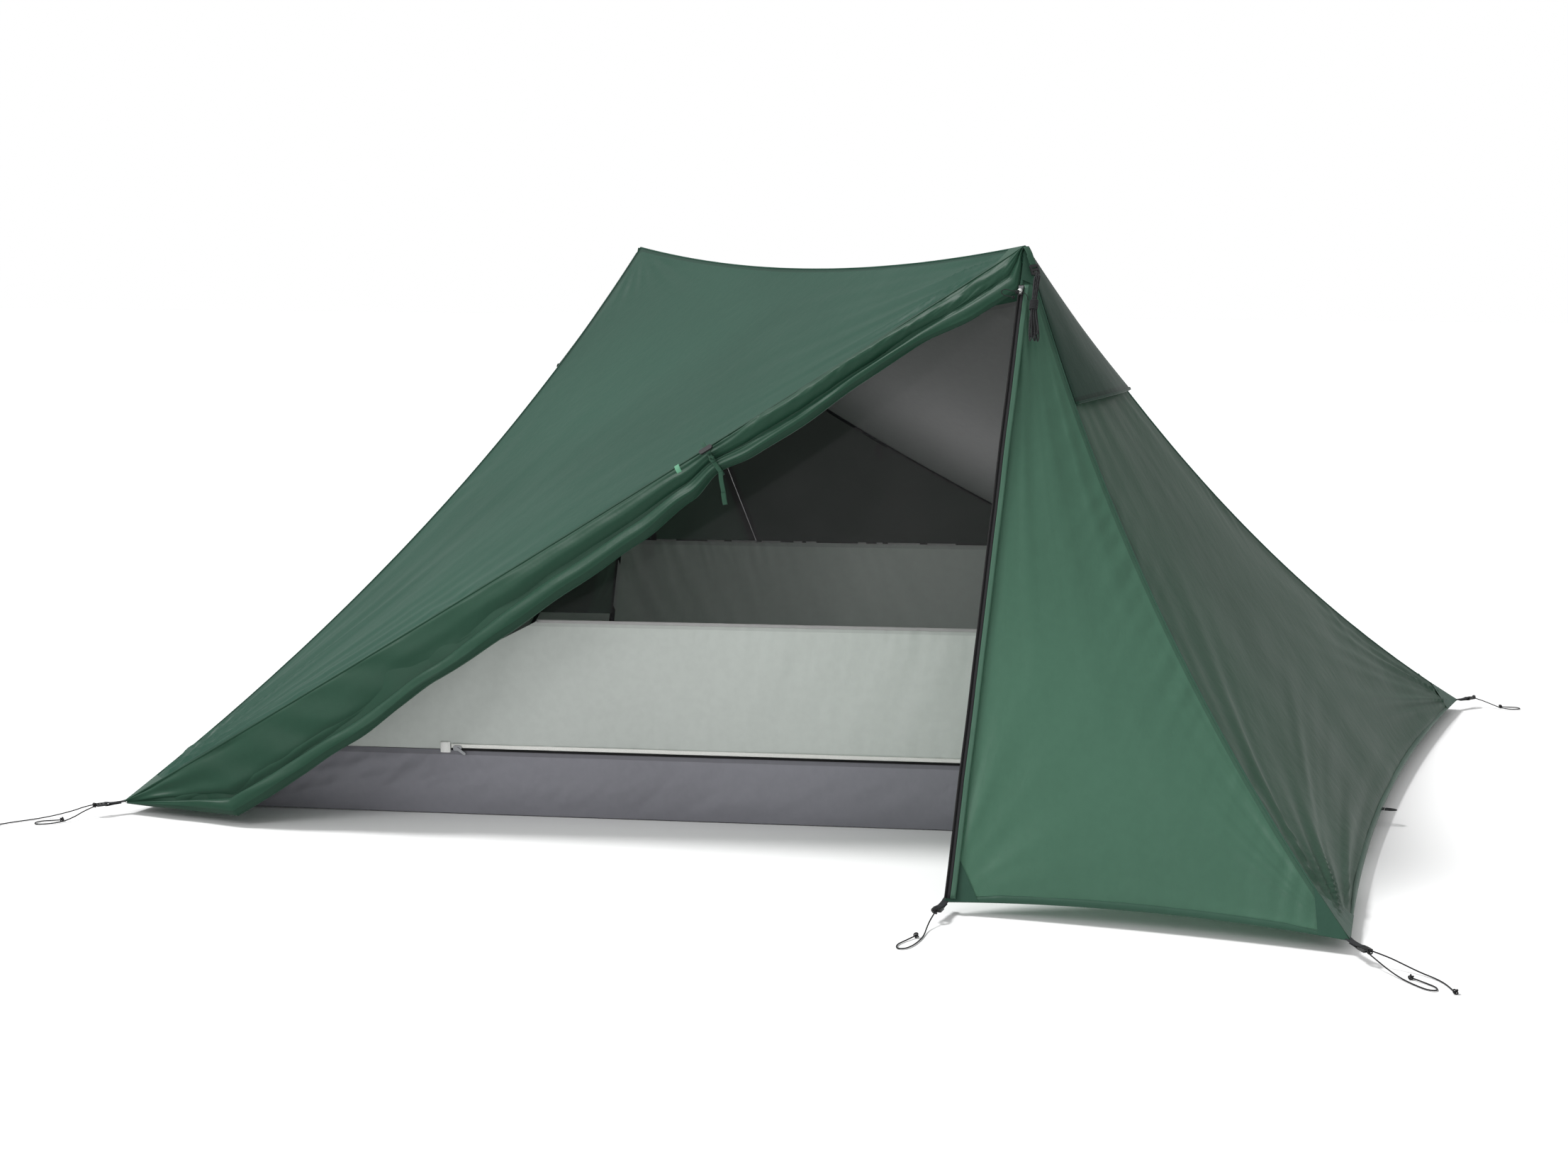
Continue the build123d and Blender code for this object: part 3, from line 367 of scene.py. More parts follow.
def braid(name, colour, tracer=None):
    s = Shader(name)
    s.set(Roughness=0.7, Specular_IOR_Level=0.15, Sheen_Weight=0.04)
    v = s.mapped(turn=(0.7, 0.4, 0.5))
    plait = s.math("MULTIPLY", s.bands(520, v, "X"), s.bands(520, v, "Y"))
    s.colour(s.mix(plait, shade(colour, 0.6), shade(tracer or colour, 1.4)))
    s.normal(s.bump((plait, 0.6, 0.0005)))
    return s.mat


M_ROOF = cloth("fly_fabric_roof", srgb(43, 80, 66), 0.20, hi=1.10, lo=0.90)
# painted light: this copy of the fly fabric is brighter and greener than the roof, standing for light shining
# through the front panel
M_FIXED_LIT = cloth("fly_fabric_front_painted_light", srgb(77, 115, 96), 0.34, rough=0.36, hi=1.08, lo=0.90, shine=0.32)
# painted shade: this copy of the fly fabric is darker, with a brownish tint, standing for the inner tent's
# shade seen through the end panel
M_END_SHADED = cloth("fly_fabric_end_painted_shade", srgb(50, 83, 67), 0.20, painted_shade_tint=srgb(58, 77, 64), hi=1.1, lo=0.9)
M_DOOR = cloth("fly_fabric_door", srgb(74, 112, 92), 0.18, hi=1.12, lo=0.88)
# painted shade: the folded door and its seam welt use a darker copy of the fly fabric, standing for the shade
# on the downward-facing folds
M_FOLD_SHADED = cloth("fly_fabric_folded_painted_shade", srgb(37, 71, 55), 0.10, rough=0.44, shine=0.18, hi=1.1, lo=0.9,
               crinkle=0.3)
# painted shade: the hoods use the darkest copy of the fly fabric, standing for the shade under the vent flaps
M_HOOD_SHADED = cloth("fly_fabric_hood_painted_shade", srgb(32, 58, 47), 0.1)
M_PATCH = cloth("fly_fabric_patch", srgb(50, 80, 67), 0.05)
M_HEM = cloth("fly_hem", srgb(54, 84, 70), 0.05, crinkle=0.2)
M_TAB_GREEN = webbing("tie_webbing", srgb(52, 84, 68))
M_LIGHT_GREEN = webbing("elastic_tab", srgb(104, 160, 130))
M_INNER = cloth("inner_fabric", srgb(206, 203, 205), 0.50, rough=0.5, seam=0.85, hi=1.03, lo=0.95)
M_SKIRT = cloth("inner_skirt_fabric", srgb(208, 213, 209), 0.30, rough=0.48, seam=0.85, hi=1.04,
                lo=0.94)
M_NET = mesh_cloth("inner_netting", srgb(30, 30, 31), 0.48)
# painted shade: the far netting is a grey, denser copy of the black netting, its colour standing for the dim
# interior seen through two layers
M_NET_FAR_SHADED = mesh_cloth("inner_netting_far_painted_shade", srgb(82, 78, 80), 0.80)
M_TUB = cloth("tub_fabric", srgb(134, 134, 141), 0.06, rough=0.44, hi=1.08, lo=0.92, crinkle=0.4)
M_ZIPTAPE = webbing("zip_tape", srgb(46, 46, 48), 700)
M_ZIPBLACK = webbing("zip_coil", srgb(18, 18, 19), 900, 0.5)
M_ZIPWHITE = webbing("zip_flap", srgb(232, 233, 228), 500)
M_WEB = webbing("guy_webbing", srgb(40, 42, 44))
M_WEB_INNER = webbing("inner_webbing", srgb(34, 34, 36))
M_CORD = braid("guy_cord", srgb(26, 26, 27), srgb(60, 60, 62))
M_HANK = braid("hank_cord", srgb(36, 37, 39), srgb(66, 68, 69))
M_BUCKLE = moulded("buckle_plastic", srgb(30, 31, 32))
M_SLIDER = moulded("slider_metal", srgb(130, 132, 134), 0.34, 500, 0.9)
M_BEAD = moulded("bead_plastic", srgb(232, 233, 230), 0.3)
M_BLOCK = webbing("zip_end_block", srgb(238, 239, 236), 500)
M_ALU = moulded("pole_aluminium", srgb(96, 98, 100), 0.3, 1400, 0.85)
M_CARBON = moulded("pole_carbon", srgb(36, 37, 39), 0.32, 1600, 0.2)
M_FOAM = moulded("grip_foam", srgb(44, 43, 42), 0.85, 420)
M_CLAMP = moulded("clamp_plastic", srgb(34, 35, 37), 0.4)
M_LEVER = moulded("lever_plastic", srgb(70, 72, 74), 0.35)

# ------------------------------------------------------------------ corners and seams of the fly
PEAK_H, HEM_H = 1188, 25
A, C = mm(-1275, -1045, HEM_H), mm(1275, -1045, HEM_H)
D, E = mm(1275, 1045, HEM_H), mm(-1275, 1045, HEM_H)
B, BB = mm(568, -1076, HEM_H - 3), mm(-568, 1076, HEM_H - 3)
P1, P2 = mm(549, -538, PEAK_H), mm(-763, 461, PEAK_H)
RIDGE = mm(0, 0, -50)
SEAM_P1A, SEAM_P2A = mm(3, 11, -10), mm(53, 20, -49)
SEAM_P1C, SEAM_P1D, SEAM_P2E = mm(-54, 50, -58), mm(-49, -19, -56), mm(50, -46, -54)
STRAIGHT = mm(0, 0, 0)
HEM_FRONT, HEM_BACK = mm(0, 14, 12), mm(0, -14, 12)
HEM_RIGHT, HEM_LEFT = mm(-50, 0, 6), mm(50, 0, 6)
UP = Vector((0, 0, 1))


class Panel:
    """Three-cornered panel with bowed edges. Its edges are numbered by the corner they face."""

    def __init__(self, p, q, r, s_pq, s_qr, s_rp, lift, away):
        self.c, self.s, self.lift = (p, q, r), (s_pq, s_qr, s_rp), lift
        n = (q - p).cross(r - p)
        self.n = n.normalized() if n.dot(away) > 0 else -n.normalized()
        self.area = n.length / 2
        sides = [(r - q).length, (p - r).length, (q - p).length]
        self.h = [2 * self.area / s for s in sides]
        self.long, self.short = max(sides), 2 * self.area / max(sides)
        self.ux = (q - p).normalized()
        self.uy = self.n.cross(self.ux)

    def at(self, u, v, out=0.0):
        w = 1 - u - v
        p, q, r = self.c
        a, b, c = self.s
        return (p * u + q * v + r * w + a * (4 * u * v) + b * (4 * v * w) + c * (4 * w * u)
                + self.lift * (27 * u * v * w) + self.n * out)

    def edge(self, u, v):
        return min(u * self.h[0], v * self.h[1], (1 - u - v) * self.h[2])


def creases(panel, fans, puckers, swell, seed):
    """Outward shift of a panel's cloth, in metres, from its tension creases.

    fans: (corner, creases across it, height, reach); puckers: (edge, height, wavelength, depth).
    """
    def shift(u, v, pos):
        w = 1 - u - v
        bary = (u, v, w)
        rise = 0.0
        for corner, count, height, reach in fans:
            far = (1 - bary[corner]) * panel.h[corner]
            a, b = bary[(corner + 1) % 3], bary[(corner + 2) % 3]
            ang = a / max(a + b, 1e-6)
            fade = math.exp(-far / reach) * smooth(far, 0.03, 0.16)
            x = wave(ang * count + seed, far * 1.6, seed * 1.7 + corner * 5)
            rise += height * fade * (x if x > 0 else 0.6 * x) * 2.5
        for edge, height, length, depth in puckers:
            far = bary[edge] * panel.h[edge]
            along = (pos - panel.c[(edge + 1) % 3]).length
            lean = along + 0.55 * far
            fade = math.exp(-far / depth) * smooth(far, 0.0, 0.010)
            x = wave(lean / length, far * 3.0, seed + edge * 9.0)
            burst = smooth(wave(along * 3.0, seed * 2.0, 4.0), -0.15, 0.45)
            rise += height * fade * x * (0.25 + burst) * 2.4
        rise += swell * wave(pos.x * 1.7 + seed, pos.y * 1.7, pos.z * 1.3)
        rise += swell * 0.45 * wave(pos.x * 5 + seed, pos.y * 5, pos.z * 3)
        return rise * smooth(panel.edge(u, v), 0.0, 0.03)
    return shift


def triangle(name, panel, n, mat, shift=None, out=0.0, body="tent", span=None):
    """The cloth of one panel. span = (corner, share) keeps only a patch at that corner."""
    index, verts, uvs, edge = {}, [], [], []
    for i in range(n + 1):
        for j in range(n + 1 - i):
            u, v = i / n, j / n
            if span:
                corner, share = span
                bary = [u * share, v * share, (1 - u - v) * share]
                bary[corner] += 1 - share
                u, v = bary[0], bary[1]
            pos = panel.at(u, v, out)
            if shift:
                pos = pos + panel.n * shift(u, v, pos)
            index[i, j] = len(verts)
            verts.append(pos)
            uvs.append((pos.dot(panel.ux), pos.dot(panel.uy)))
            edge.append(panel.edge(u, v) if not span else 1.0)
    faces = []
    for i in range(n):
        for j in range(n - i):
            faces.append((index[i, j], index[i + 1, j], index[i, j + 1]))
            if i + j < n - 1:
                faces.append((index[i + 1, j], index[i + 1, j + 1], index[i, j + 1]))
    return make_object(name, verts, faces, mat, body, uvs, edge)


OUT_F, OUT_K, OUT_R, OUT_L = (Vector(k) for k in ((0, -1, 0.4), (0, 1, 0.4), (1, 0, 0.3), (-1, 0, 0.3)))
roof_front = Panel(P1, P2, A, RIDGE, SEAM_P2A, SEAM_P1A, mm(-4, -5, 9), OUT_F)
roof_back = Panel(P2, P1, D, RIDGE, SEAM_P1D, STRAIGHT, mm(4, 5, 9), OUT_K)
end_right = Panel(P1, C, D, SEAM_P1C, HEM_RIGHT, SEAM_P1D, mm(26, 0, 16), OUT_R)
end_left = Panel(P2, E, A, SEAM_P2E, HEM_LEFT, SEAM_P2A, mm(-27, 0, 12), OUT_L)
fixed_front = Panel(P1, B, C, STRAIGHT, HEM_FRONT, SEAM_P1C, mm(4, -12, 6), OUT_F)
fixed_back = Panel(P2, BB, E, STRAIGHT, HEM_BACK, SEAM_P2E, mm(-4, 12, 6), OUT_K)


def declare(node):
    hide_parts(node)


def finish_nodes(mat, *nodes):
    """Gives CAD nodes a finish of their own."""
    for node in nodes:
        NODES[node].data.materials.clear()
        NODES[node].data.materials.append(mat)


DENSE = 190
# the closed back door rides on its own hinge: its straight seam lies on the hinge line, and its
# other edges stop just inside the zip and the hem
DOOR_GAP, HINGE_GAP = 0.005, 0.008


def inset(p, q, r, gap):
    a, b = (q - p).normalized(), (r - p).normalized()
    return p + (a + b).normalized() * (gap / math.sin(a.angle(b) / 2))


HINGE = (D - P2).normalized()
door_cut = Panel(P2 + HINGE * HINGE_GAP, D - HINGE * HINGE_GAP, inset(BB, P2, D, DOOR_GAP),
                 STRAIGHT, HEM_BACK, STRAIGHT, mm(0, 10, 4), OUT_K)

# node, cloth, panel, material, then the fans, puckers, swell and seed of its creases, and its body
FLY = [
    ("fly_roof_front", "roof_front_cloth", roof_front, M_ROOF,
     [(0, 16, 0.008, 0.22), (1, 12, 0.006, 0.20), (2, 14, 0.010, 0.45)],
     [(1, 0.0028, 0.050, 0.060), (2, 0.002, 0.07, 0.05), (0, 0.0022, 0.055, 0.05)], 0.0040, 3.1, "tent"),
    ("fly_roof_back", "roof_back_cloth", roof_back, M_ROOF,
     [(0, 12, 0.006, 0.20), (1, 12, 0.006, 0.20), (2, 14, 0.010, 0.45)],
     [(1, 0.0025, 0.050, 0.060), (2, 0.002, 0.07, 0.05), (0, 0.002, 0.06, 0.05)], 0.0040, 8.4, "tent"),
    ("fly_end_right", "end_right_cloth", end_right, M_END_SHADED,
     [(0, 12, 0.008, 0.20), (1, 16, 0.009, 0.35), (2, 14, 0.008, 0.35)],
     [(1, 0.0028, 0.05, 0.06), (2, 0.0036, 0.045, 0.06), (0, 0.0015, 0.06, 0.03)], 0.005, 5.7, "tent"),
    ("fly_end_left", "end_left_cloth", end_left, M_END_SHADED,
     [(0, 12, 0.008, 0.20), (1, 14, 0.009, 0.35), (2, 16, 0.009, 0.35)],
     [(1, 0.0028, 0.05, 0.06), (2, 0.0034, 0.045, 0.06), (0, 0.0015, 0.06, 0.03)], 0.005, 11.3, "tent"),
    ("fly_fixed_front", "fixed_front_cloth", fixed_front, M_FIXED_LIT,
     [(0, 9, 0.0045, 0.55), (1, 8, 0.003, 0.25), (2, 12, 0.004, 0.28)],
     [(1, 0.0060, 0.034, 0.060), (2, 0.0014, 0.06, 0.03), (0, 0.0018, 0.055, 0.03)], 0.0045, 7.9, "tent"),
    ("fly_fixed_back", "fixed_back_cloth", fixed_back, M_FIXED_LIT,
     [(0, 15, 0.010, 0.34), (1, 10, 0.007, 0.25), (2, 20, 0.009, 0.30)],
     [(1, 0.004, 0.040, 0.055), (2, 0.0014, 0.06, 0.03), (0, 0.0018, 0.055, 0.03)], 0.0045, 13.6, "tent"),
    ("fly_door_back", "back_door_cloth", door_cut, M_DOOR,
     [(0, 14, 0.008, 0.3), (1, 14, 0.009, 0.4), (2, 12, 0.008, 0.25)],
     [(0, 0.0018, 0.055, 0.03), (2, 0.002, 0.06, 0.04)], 0.0045, 17.2, "back_door")]
for node, name, panel, mat, fans, puckers, swell, seed, body in FLY:
    obj = triangle(name, panel, DENSE, mat, creases(panel, fans, puckers, swell, seed), body=body)
    declare(node)


# ------------------------------------------------------------------ seams, hems and patches
def welt(name, p, q, sag, r, mat, body="tent", lift=STRAIGHT, n=70):
    """Felled seam: a low rounded ridge of folded cloth along the seam line."""
    pts = [bowed(p, q, sag, k / n) + lift for k in range(n + 1)]
    return tube(name, pts, [r * (1 + 0.12 * wave(k * 0.7, 3.3)) for k in range(n + 1)], mat, body, sides=8)


welt("seam_ridge", P1, P2, RIDGE, 0.0020, M_ROOF)
welt("seam_front_a", P1, A, SEAM_P1A, 0.0022, M_FOLD_SHADED)
welt("seam_left_roof", P2, A, SEAM_P2A, 0.0020, M_ROOF)
welt("seam_front_c", P1, C, SEAM_P1C, 0.0020, M_HEM)
welt("seam_right_roof", P1, D, SEAM_P1D, 0.0020, M_ROOF)
welt("seam_back_e", P2, E, SEAM_P2E, 0.0020, M_HEM)
welt("seam_back_d", P2, D, STRAIGHT, 0.0018, M_ROOF)


def hem(name, panel, fixed, body="tent", width=0.013, n=90):
    """Folded hem: a doubled band along the panel edge that faces corner number fixed."""
    rows = []
    for k in range(n + 1):
        t = k / n
        lo = [0.0, 0.0, 0.0]
        a, b = (fixed + 1) % 3, (fixed + 2) % 3
        lo[a], lo[b] = 1 - t, t
        hi = list(lo)
        share = width / panel.h[fixed]
        taper = min(1.0, 6 * t + 0.15, 6 * (1 - t) + 0.15)
        hi[fixed] = share * taper
        hi[a] -= hi[fixed] * (1 - t)
        hi[b] -= hi[fixed] * t
        low, top = panel.at(lo[0], lo[1]), panel.at(hi[0], hi[1])
        drop = (low - top).normalized()
        ripple = panel.n * (0.0006 * wave(t * 40, panel.area * 9))
        rows.append([top + panel.n * 0.0009 + ripple, (top + low) / 2 + panel.n * 0.0016 + ripple,
                     low + panel.n * 0.0014, low + drop * 0.0014, low - panel.n * 0.0012,
                     top - panel.n * 0.0008])
    return solid_grid(name, rows, M_HEM, body)


hem("hem_front", fixed_front, 0)
hem("hem_right", end_right, 0)
hem("hem_left", end_left, 0)
hem("hem_back", fixed_back, 0)
hem("hem_back_door", door_cut, 0, "back_door")
hem("hem_door_edge_back", door_cut, 1, "back_door", 0.010)
hem("hem_fixed_edge", fixed_front, 2, width=0.016)
hem("hem_fixed_edge_back", fixed_back, 2, width=0.016)

PATCHES = [("patch_b", fixed_front, 1, 0.085), ("patch_c", fixed_front, 2, 0.075),
           ("patch_c_end", end_right, 1, 0.065), ("patch_d_end", end_right, 2, 0.065),
           ("patch_e_end", end_left, 1, 0.065), ("patch_a_end", end_left, 2, 0.065),
           ("patch_a_roof", roof_front, 2, 0.045), ("patch_d_roof", roof_back, 2, 0.045),
           ("patch_e", fixed_back, 2, 0.075), ("patch_bb", fixed_back, 1, 0.085),
           ("patch_peak_front", fixed_front, 0, 0.055), ("patch_peak_back", fixed_back, 0, 0.055),
           ("patch_peak_end_r", end_right, 0, 0.045), ("patch_peak_end_l", end_left, 0, 0.045),
           ("patch_peak_roof_f", roof_front, 0, 0.030), ("patch_peak_roof_b", roof_back, 0, 0.030)]
for name, panel, corner, share in PATCHES:
    mat = M_PATCH if "peak" not in name else M_HEM
    triangle(name, panel, 14, mat, out=0.0022, span=(corner, share))

# ------------------------------------------------------------------ folded front door
DOOR_N = (A - P1).cross(B - P1).normalized()
if DOOR_N.y > 0:
    DOOR_N = -DOOR_N
SEAM_U = (A - P1).normalized()
HANG = DOOR_N.cross(SEAM_U)
if HANG.z > 0:
    HANG = -HANG
TIE_T = 0.335
# (share of the way from the peak to corner A, depth of the folded door in mm)
FOLD_DEPTH = [(0, 3), (0.025, 78), (0.064, 77), (0.126, 60), (0.18, 62), (0.25, 72), (0.30, 70), (0.335, 60),
              (0.37, 84), (0.43, 104), (0.50, 116), (0.58, 123), (0.66, 132), (0.76, 156),
              (0.86, 166), (1.0, 168)]
# cross-sections from the seam, over the outside to the lower edge and back: (share of depth, mm out)
FOLD_TOP = [(0, 0), (.10, 4), (.24, 6), (.36, 5), (.45, 3), (.48, 2), (.52, 3), (.64, 6), (.80, 7), (.93, 5),
            (1.0, 1), (.94, -2), (.70, -3), (.35, -3), (.12, -2), (.2, -1), (.8, -1), (.3, 1), (.85, 2),
            (.75, 3), (.62, 2)]
FOLD_UPPER = [(0, 0), (.10, 12), (.24, 19), (.40, 17), (.55, 4), (.60, -8), (.66, 4), (.74, 12), (.84, 14),
              (.93, 10), (1.0, 2), (.94, -7), (.70, -10), (.35, -9), (.12, -8), (.2, -4), (.8, -3), (.3, 1),
              (.85, 4), (.75, 9), (.62, 6)]
FOLD_TIED = [(0, 0), (.16, 10), (.30, 14), (.42, 13), (.50, 8), (.54, 7), (.60, 11), (.70, 14), (.84, 12),
             (.95, 7), (1.0, 0), (.94, -7), (.70, -9), (.35, -9), (.14, -7), (.2, -4), (.8, -3), (.3, 1),
             (.8, 3), (.7, 5), (.6, 4)]
FOLD_MIDDLE = [(0, 0), (.10, 8), (.24, 13), (.40, 11), (.52, 1), (.56, -7), (.60, 4), (.70, 15), (.84, 19),
               (.95, 13), (1.0, 2), (.94, -7), (.70, -10), (.35, -9), (.12, -8), (.2, -4), (.8, -3), (.3, 1),
               (.85, 4), (.75, 8), (.62, 5)]
FOLD_LOWER = [(0, 0), (.10, 4), (.26, 4), (.44, 0), (.60, -4), (.71, -8), (.745, 2), (.80, 12), (.89, 15),
              (.97, 10), (1.0, 1), (.95, -7), (.70, -9), (.35, -8), (.12, -6), (.2, -3), (.8, -6), (.3, -2),
              (.8, -4), (.7, -4), (.6, -4)]
FOLD_HEM = [(0, 0), (.10, 2), (.26, 2), (.44, 0), (.60, -2), (.72, -3), (.75, 1), (.80, 5), (.89, 6),
            (.97, 4), (1.0, 0), (.95, -3), (.70, -4), (.35, -3), (.12, -2), (.2, -1), (.8, -2), (.3, 0),
            (.8, -1), (.7, -1), (.6, -1)]
FOLD_KEYS = [(0.0, FOLD_TOP), (0.07, FOLD_TOP), (0.17, FOLD_UPPER), (0.27, FOLD_UPPER), (TIE_T, FOLD_TIED),
             (0.40, FOLD_MIDDLE), (0.52, FOLD_MIDDLE), (0.66, FOLD_LOWER), (0.88, FOLD_LOWER),
             (1.0, FOLD_HEM)]


def between(keys, t, blend):
    for (ta, a), (tb, b) in zip(keys, keys[1:]):
        if t <= tb:
            return blend(a, b, smooth(t, ta, tb))
    return keys[-1][1]


FOLD_ZIP_GAP = 3.2


def fold_depth(t):
    z_left = (bowed(P1, A, SEAM_P1A, t).z - 0.020) / -HANG.z
    depth = between(FOLD_DEPTH, t, lambda a, b, f: a + (b - a) * f) * 0.001
    return max(0.003, min(depth, z_left - 0.002, FOLD_ZIP_GAP * t))


def fold_ring(t, cols):
    prof = between(FOLD_KEYS, t, lambda a, b, f: [
        (pa + (pb - pa) * f, oa + (ob - oa) * f) for (pa, oa), (pb, ob) in zip(a, b)])
    depth = fold_depth(t)
    top = bowed(P1, A, SEAM_P1A, t)
    line = catmull([Vector((h, o, 0)) for h, o in prof], cols)
    squeeze = math.exp(-((t - TIE_T) / 0.035) ** 2)
    loose = smooth(t, 0.45, 0.8)
    small = min(1.0, depth / 0.05)
    ring = []
    for k, p in enumerate(line):
        s = k / (cols - 1)
        long_fold = wave(s * 13 + 2.0, t * 5.0 + (s * 2), 1.5) * (3.0 + 2.0 * loose)
        fan = wave(s * 30, (t - TIE_T) * 3.0, 8.8) * (5.0 * math.exp(-abs(t - TIE_T) / 0.10))
        dent = wave(s * 9 + t * 14, t * 22.0, 3.2) * (2.4 + 2.6 * loose)
        crumple = abs(wave(s * 16 - t * 40, t * 46.0, 5.1)) * 3.0
        crumple = crumple * (1 - smooth(t, 0.30, 0.42)) * (1 - smooth(p.x, 0.5, 0.6))
        keep = smooth(p.x, 0.0, 0.08) * small
        out = (p.y * (1 - 0.25 * squeeze) + (long_fold + fan + dent + crumple) * keep) * 0.001
        sway = wave(t * 9, 6.1) * 0.004 * smooth(p.x, 0.6, 1.0) * small
        ring.append(top + HANG * (p.x * depth + sway) + DOOR_N * out)
    return ring, line, depth


ROWS, COLS = ((420, 130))
verts, uvs, edge = [], [], []
for i in range(ROWS):
    t = 0.002 + (0.998 - 0.002) * i / (ROWS - 1)
    ring, line, depth = fold_ring(t, COLS)
    run = 0.0
    for k, p in enumerate(ring):
        run += (p - ring[k - 1]).length if k else 0.0
        verts.append(p)
        uvs.append((t * 2.2, run))
        edge.append(min(abs(line[k].x - 0.985) * depth + 0.004 if 0.9 < line[k].x and k < COLS // 2 else 1.0,
                        1.0))
folded = make_object("front_door_cloth", verts, grid_faces(ROWS, COLS), M_FOLD_SHADED, "tent", uvs, edge)
declare("fly_door_front")

# ------------------------------------------------------------------ vent hoods
LIP_T = (288 - 34) / (PEAK_H - HEM_H)
HOOD_DIP, HOOD_FLAT = 0.006, 0.32


def hood(name, node, peak, low_a, sag_a, low_b, sag_b, away):
    """Cloth flap sewn to both side seams and held open along its lower lip."""
    a_end, b_end = bowed(peak, low_a, sag_a, LIP_T), bowed(peak, low_b, sag_b, LIP_T)
    n = (a_end - peak).cross(b_end - peak).normalized()
    n = n if n.dot(away) > 0 else -n
    rows, cols, verts, uvs, edge = 46, 60, [], [], []
    for i in range(rows):
        f = i / (rows - 1)
        t = 0.010 + (LIP_T + 0.004 - 0.010) * f
        a, b = bowed(peak, low_a, sag_a, t), bowed(peak, low_b, sag_b, t)
        for j in range(cols):
            s = j / (cols - 1)
            arch = math.sin(math.pi * s) ** 0.75
            rise = 0.0030 + 0.034 * arch * f ** 1.5
            rise += 0.0040 * wave(s * 3 + 3, f * 1.4, away.x * 5) * smooth(arch, 0, 0.3) * f
            dip = HOOD_DIP * f ** 3 * math.sin(math.pi * s)
            verts.append(a.lerp(b, s) + n * rise - UP * dip)
            uvs.append((s * (a_end - b_end).length, f * 0.28))
            edge.append(min(1.0, (1 - f) * 0.3))
    obj = make_object(name, verts, grid_faces(rows, cols), M_HOOD_SHADED, "tent", uvs, edge)
    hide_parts(node)
    lip = verts[-cols:]
    band = strap(name + "_lip", [p + n * 0.0008 for p in lip], 0.006, 0.0020, n, M_HOOD_SHADED)
    for piece in (obj, band):
        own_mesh(piece)


hood("vent_hood_right_cloth", "vent_hood_right", P1, C, SEAM_P1C, D, SEAM_P1D,
     Vector((1, 0, 0.4)))
hood("vent_hood_left_cloth", "vent_hood_left", P2, E, SEAM_P2E, A, SEAM_P2A,
     Vector((-1, 0, 0.4)))


# ------------------------------------------------------------------ door zips
ZIP_TOP, ZIP_FOOT, ZIP_SIDE = 0.084, 0.006, 0.0045
BEAD_OUT, BEAD_R = 0.0135, 0.0047


def zip_axes(peak, foot, sign):
    along = (foot - peak).normalized()
    out = Vector((0, sign, 0))
    out = (out - along * out.dot(along)).normalized()
    return along, out, out.cross(along)


def door_zip(name, node, peak, foot, sign, closed):
    along, out, side = zip_axes(peak, foot, sign)
    length = (foot - peak).length
    n = 160
    tape, coil = [], []
    for k in range(n + 1):
        d = ZIP_TOP + (length - ZIP_FOOT - ZIP_TOP) * k / n
        sway = side * (0.0009 * wave(d * 6, sign * 3.0)) + out * (0.0007 * wave(d * 11, sign * 5.0))
        tape.append(peak + along * d + out * 0.0030 + side * ZIP_SIDE + sway)
        coil.append(tape[-1] + out * 0.0009 - side * (0.0 if closed else 0.0042))
    obj = strap(name, tape, 0.009, 0.0010, out, M_ZIPTAPE)
    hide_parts(node)
    rows = []
    for k, (p, (s, nr)) in enumerate(zip(coil, frames_along(coil, out))):
        w, h = 0.0026, 0.0016 * (1 + 0.15 * (k % 2))
        rows.append([p - s * w, p - s * w * 0.6 + nr * h * 0.8, p + nr * h, p + s * w * 0.6 + nr * h * 0.8,
                     p + s * w, p - nr * 0.0004])
    solid_grid(name + "_coil", rows, M_ZIPBLACK)
    # the cloth is turned back beside the zip; this folded edge uses the front panel's painted-light copy of
    # the fabric, so it shows pale
    fold = [p + side * 0.0100 + out * (0.0012 + 0.0008 * wave(i * 0.21, sign)) for i, p in enumerate(tape)]
    strap(name + "_placket", fold, 0.010, 0.0030, out, M_FIXED_LIT)


door_zip("zip_front", "fly_zip_front", P1, B, -1, False)
door_zip("zip_back", "fly_zip_back", P2, BB, 1, True)


def lathe(name, origin, axis, profile, mat, body, sides=24):
    """Turned piece: profile is (distance along the axis, radius)."""
    hint = Vector((0.3, 0.2, 1)) if abs(axis.z) < 0.9 else Vector((1, 0.2, 0))
    a = axis.cross(hint).normalized()
    b = axis.cross(a)
    rows = [[origin + axis * z + (a * math.cos(q) + b * math.sin(q)) * r
             for q in (2 * math.pi * k / sides for k in range(sides))] for z, r in profile]
    return solid_grid(name, rows, mat, body)


def bead(name, peak, foot, sign, down, body):
    """Round pull bead on a fly zip, down metres from the peak."""
    along, out, side = zip_axes(peak, foot, sign)
    centre = peak + along * down + out * BEAD_OUT + side * ZIP_SIDE
    r = BEAD_R
    profile = [(-0.85 * r, 0.0011), (-0.92 * r, 0.30 * r), (-0.80 * r, 0.62 * r), (-0.45 * r, 0.92 * r),
               (0, 1.02 * r), (0.45 * r, 0.92 * r), (0.80 * r, 0.62 * r), (0.92 * r, 0.30 * r),
               (0.85 * r, 0.0011)]
    lathe(name, centre, side, profile, M_BEAD, body)
    return centre


BEAD_F = bead("bead_front", P1, B, -1, 0.100, "fly_slider_front")
bead("bead_back", P2, BB, 1, (BB - P2).length - 0.020, "fly_slider_back")

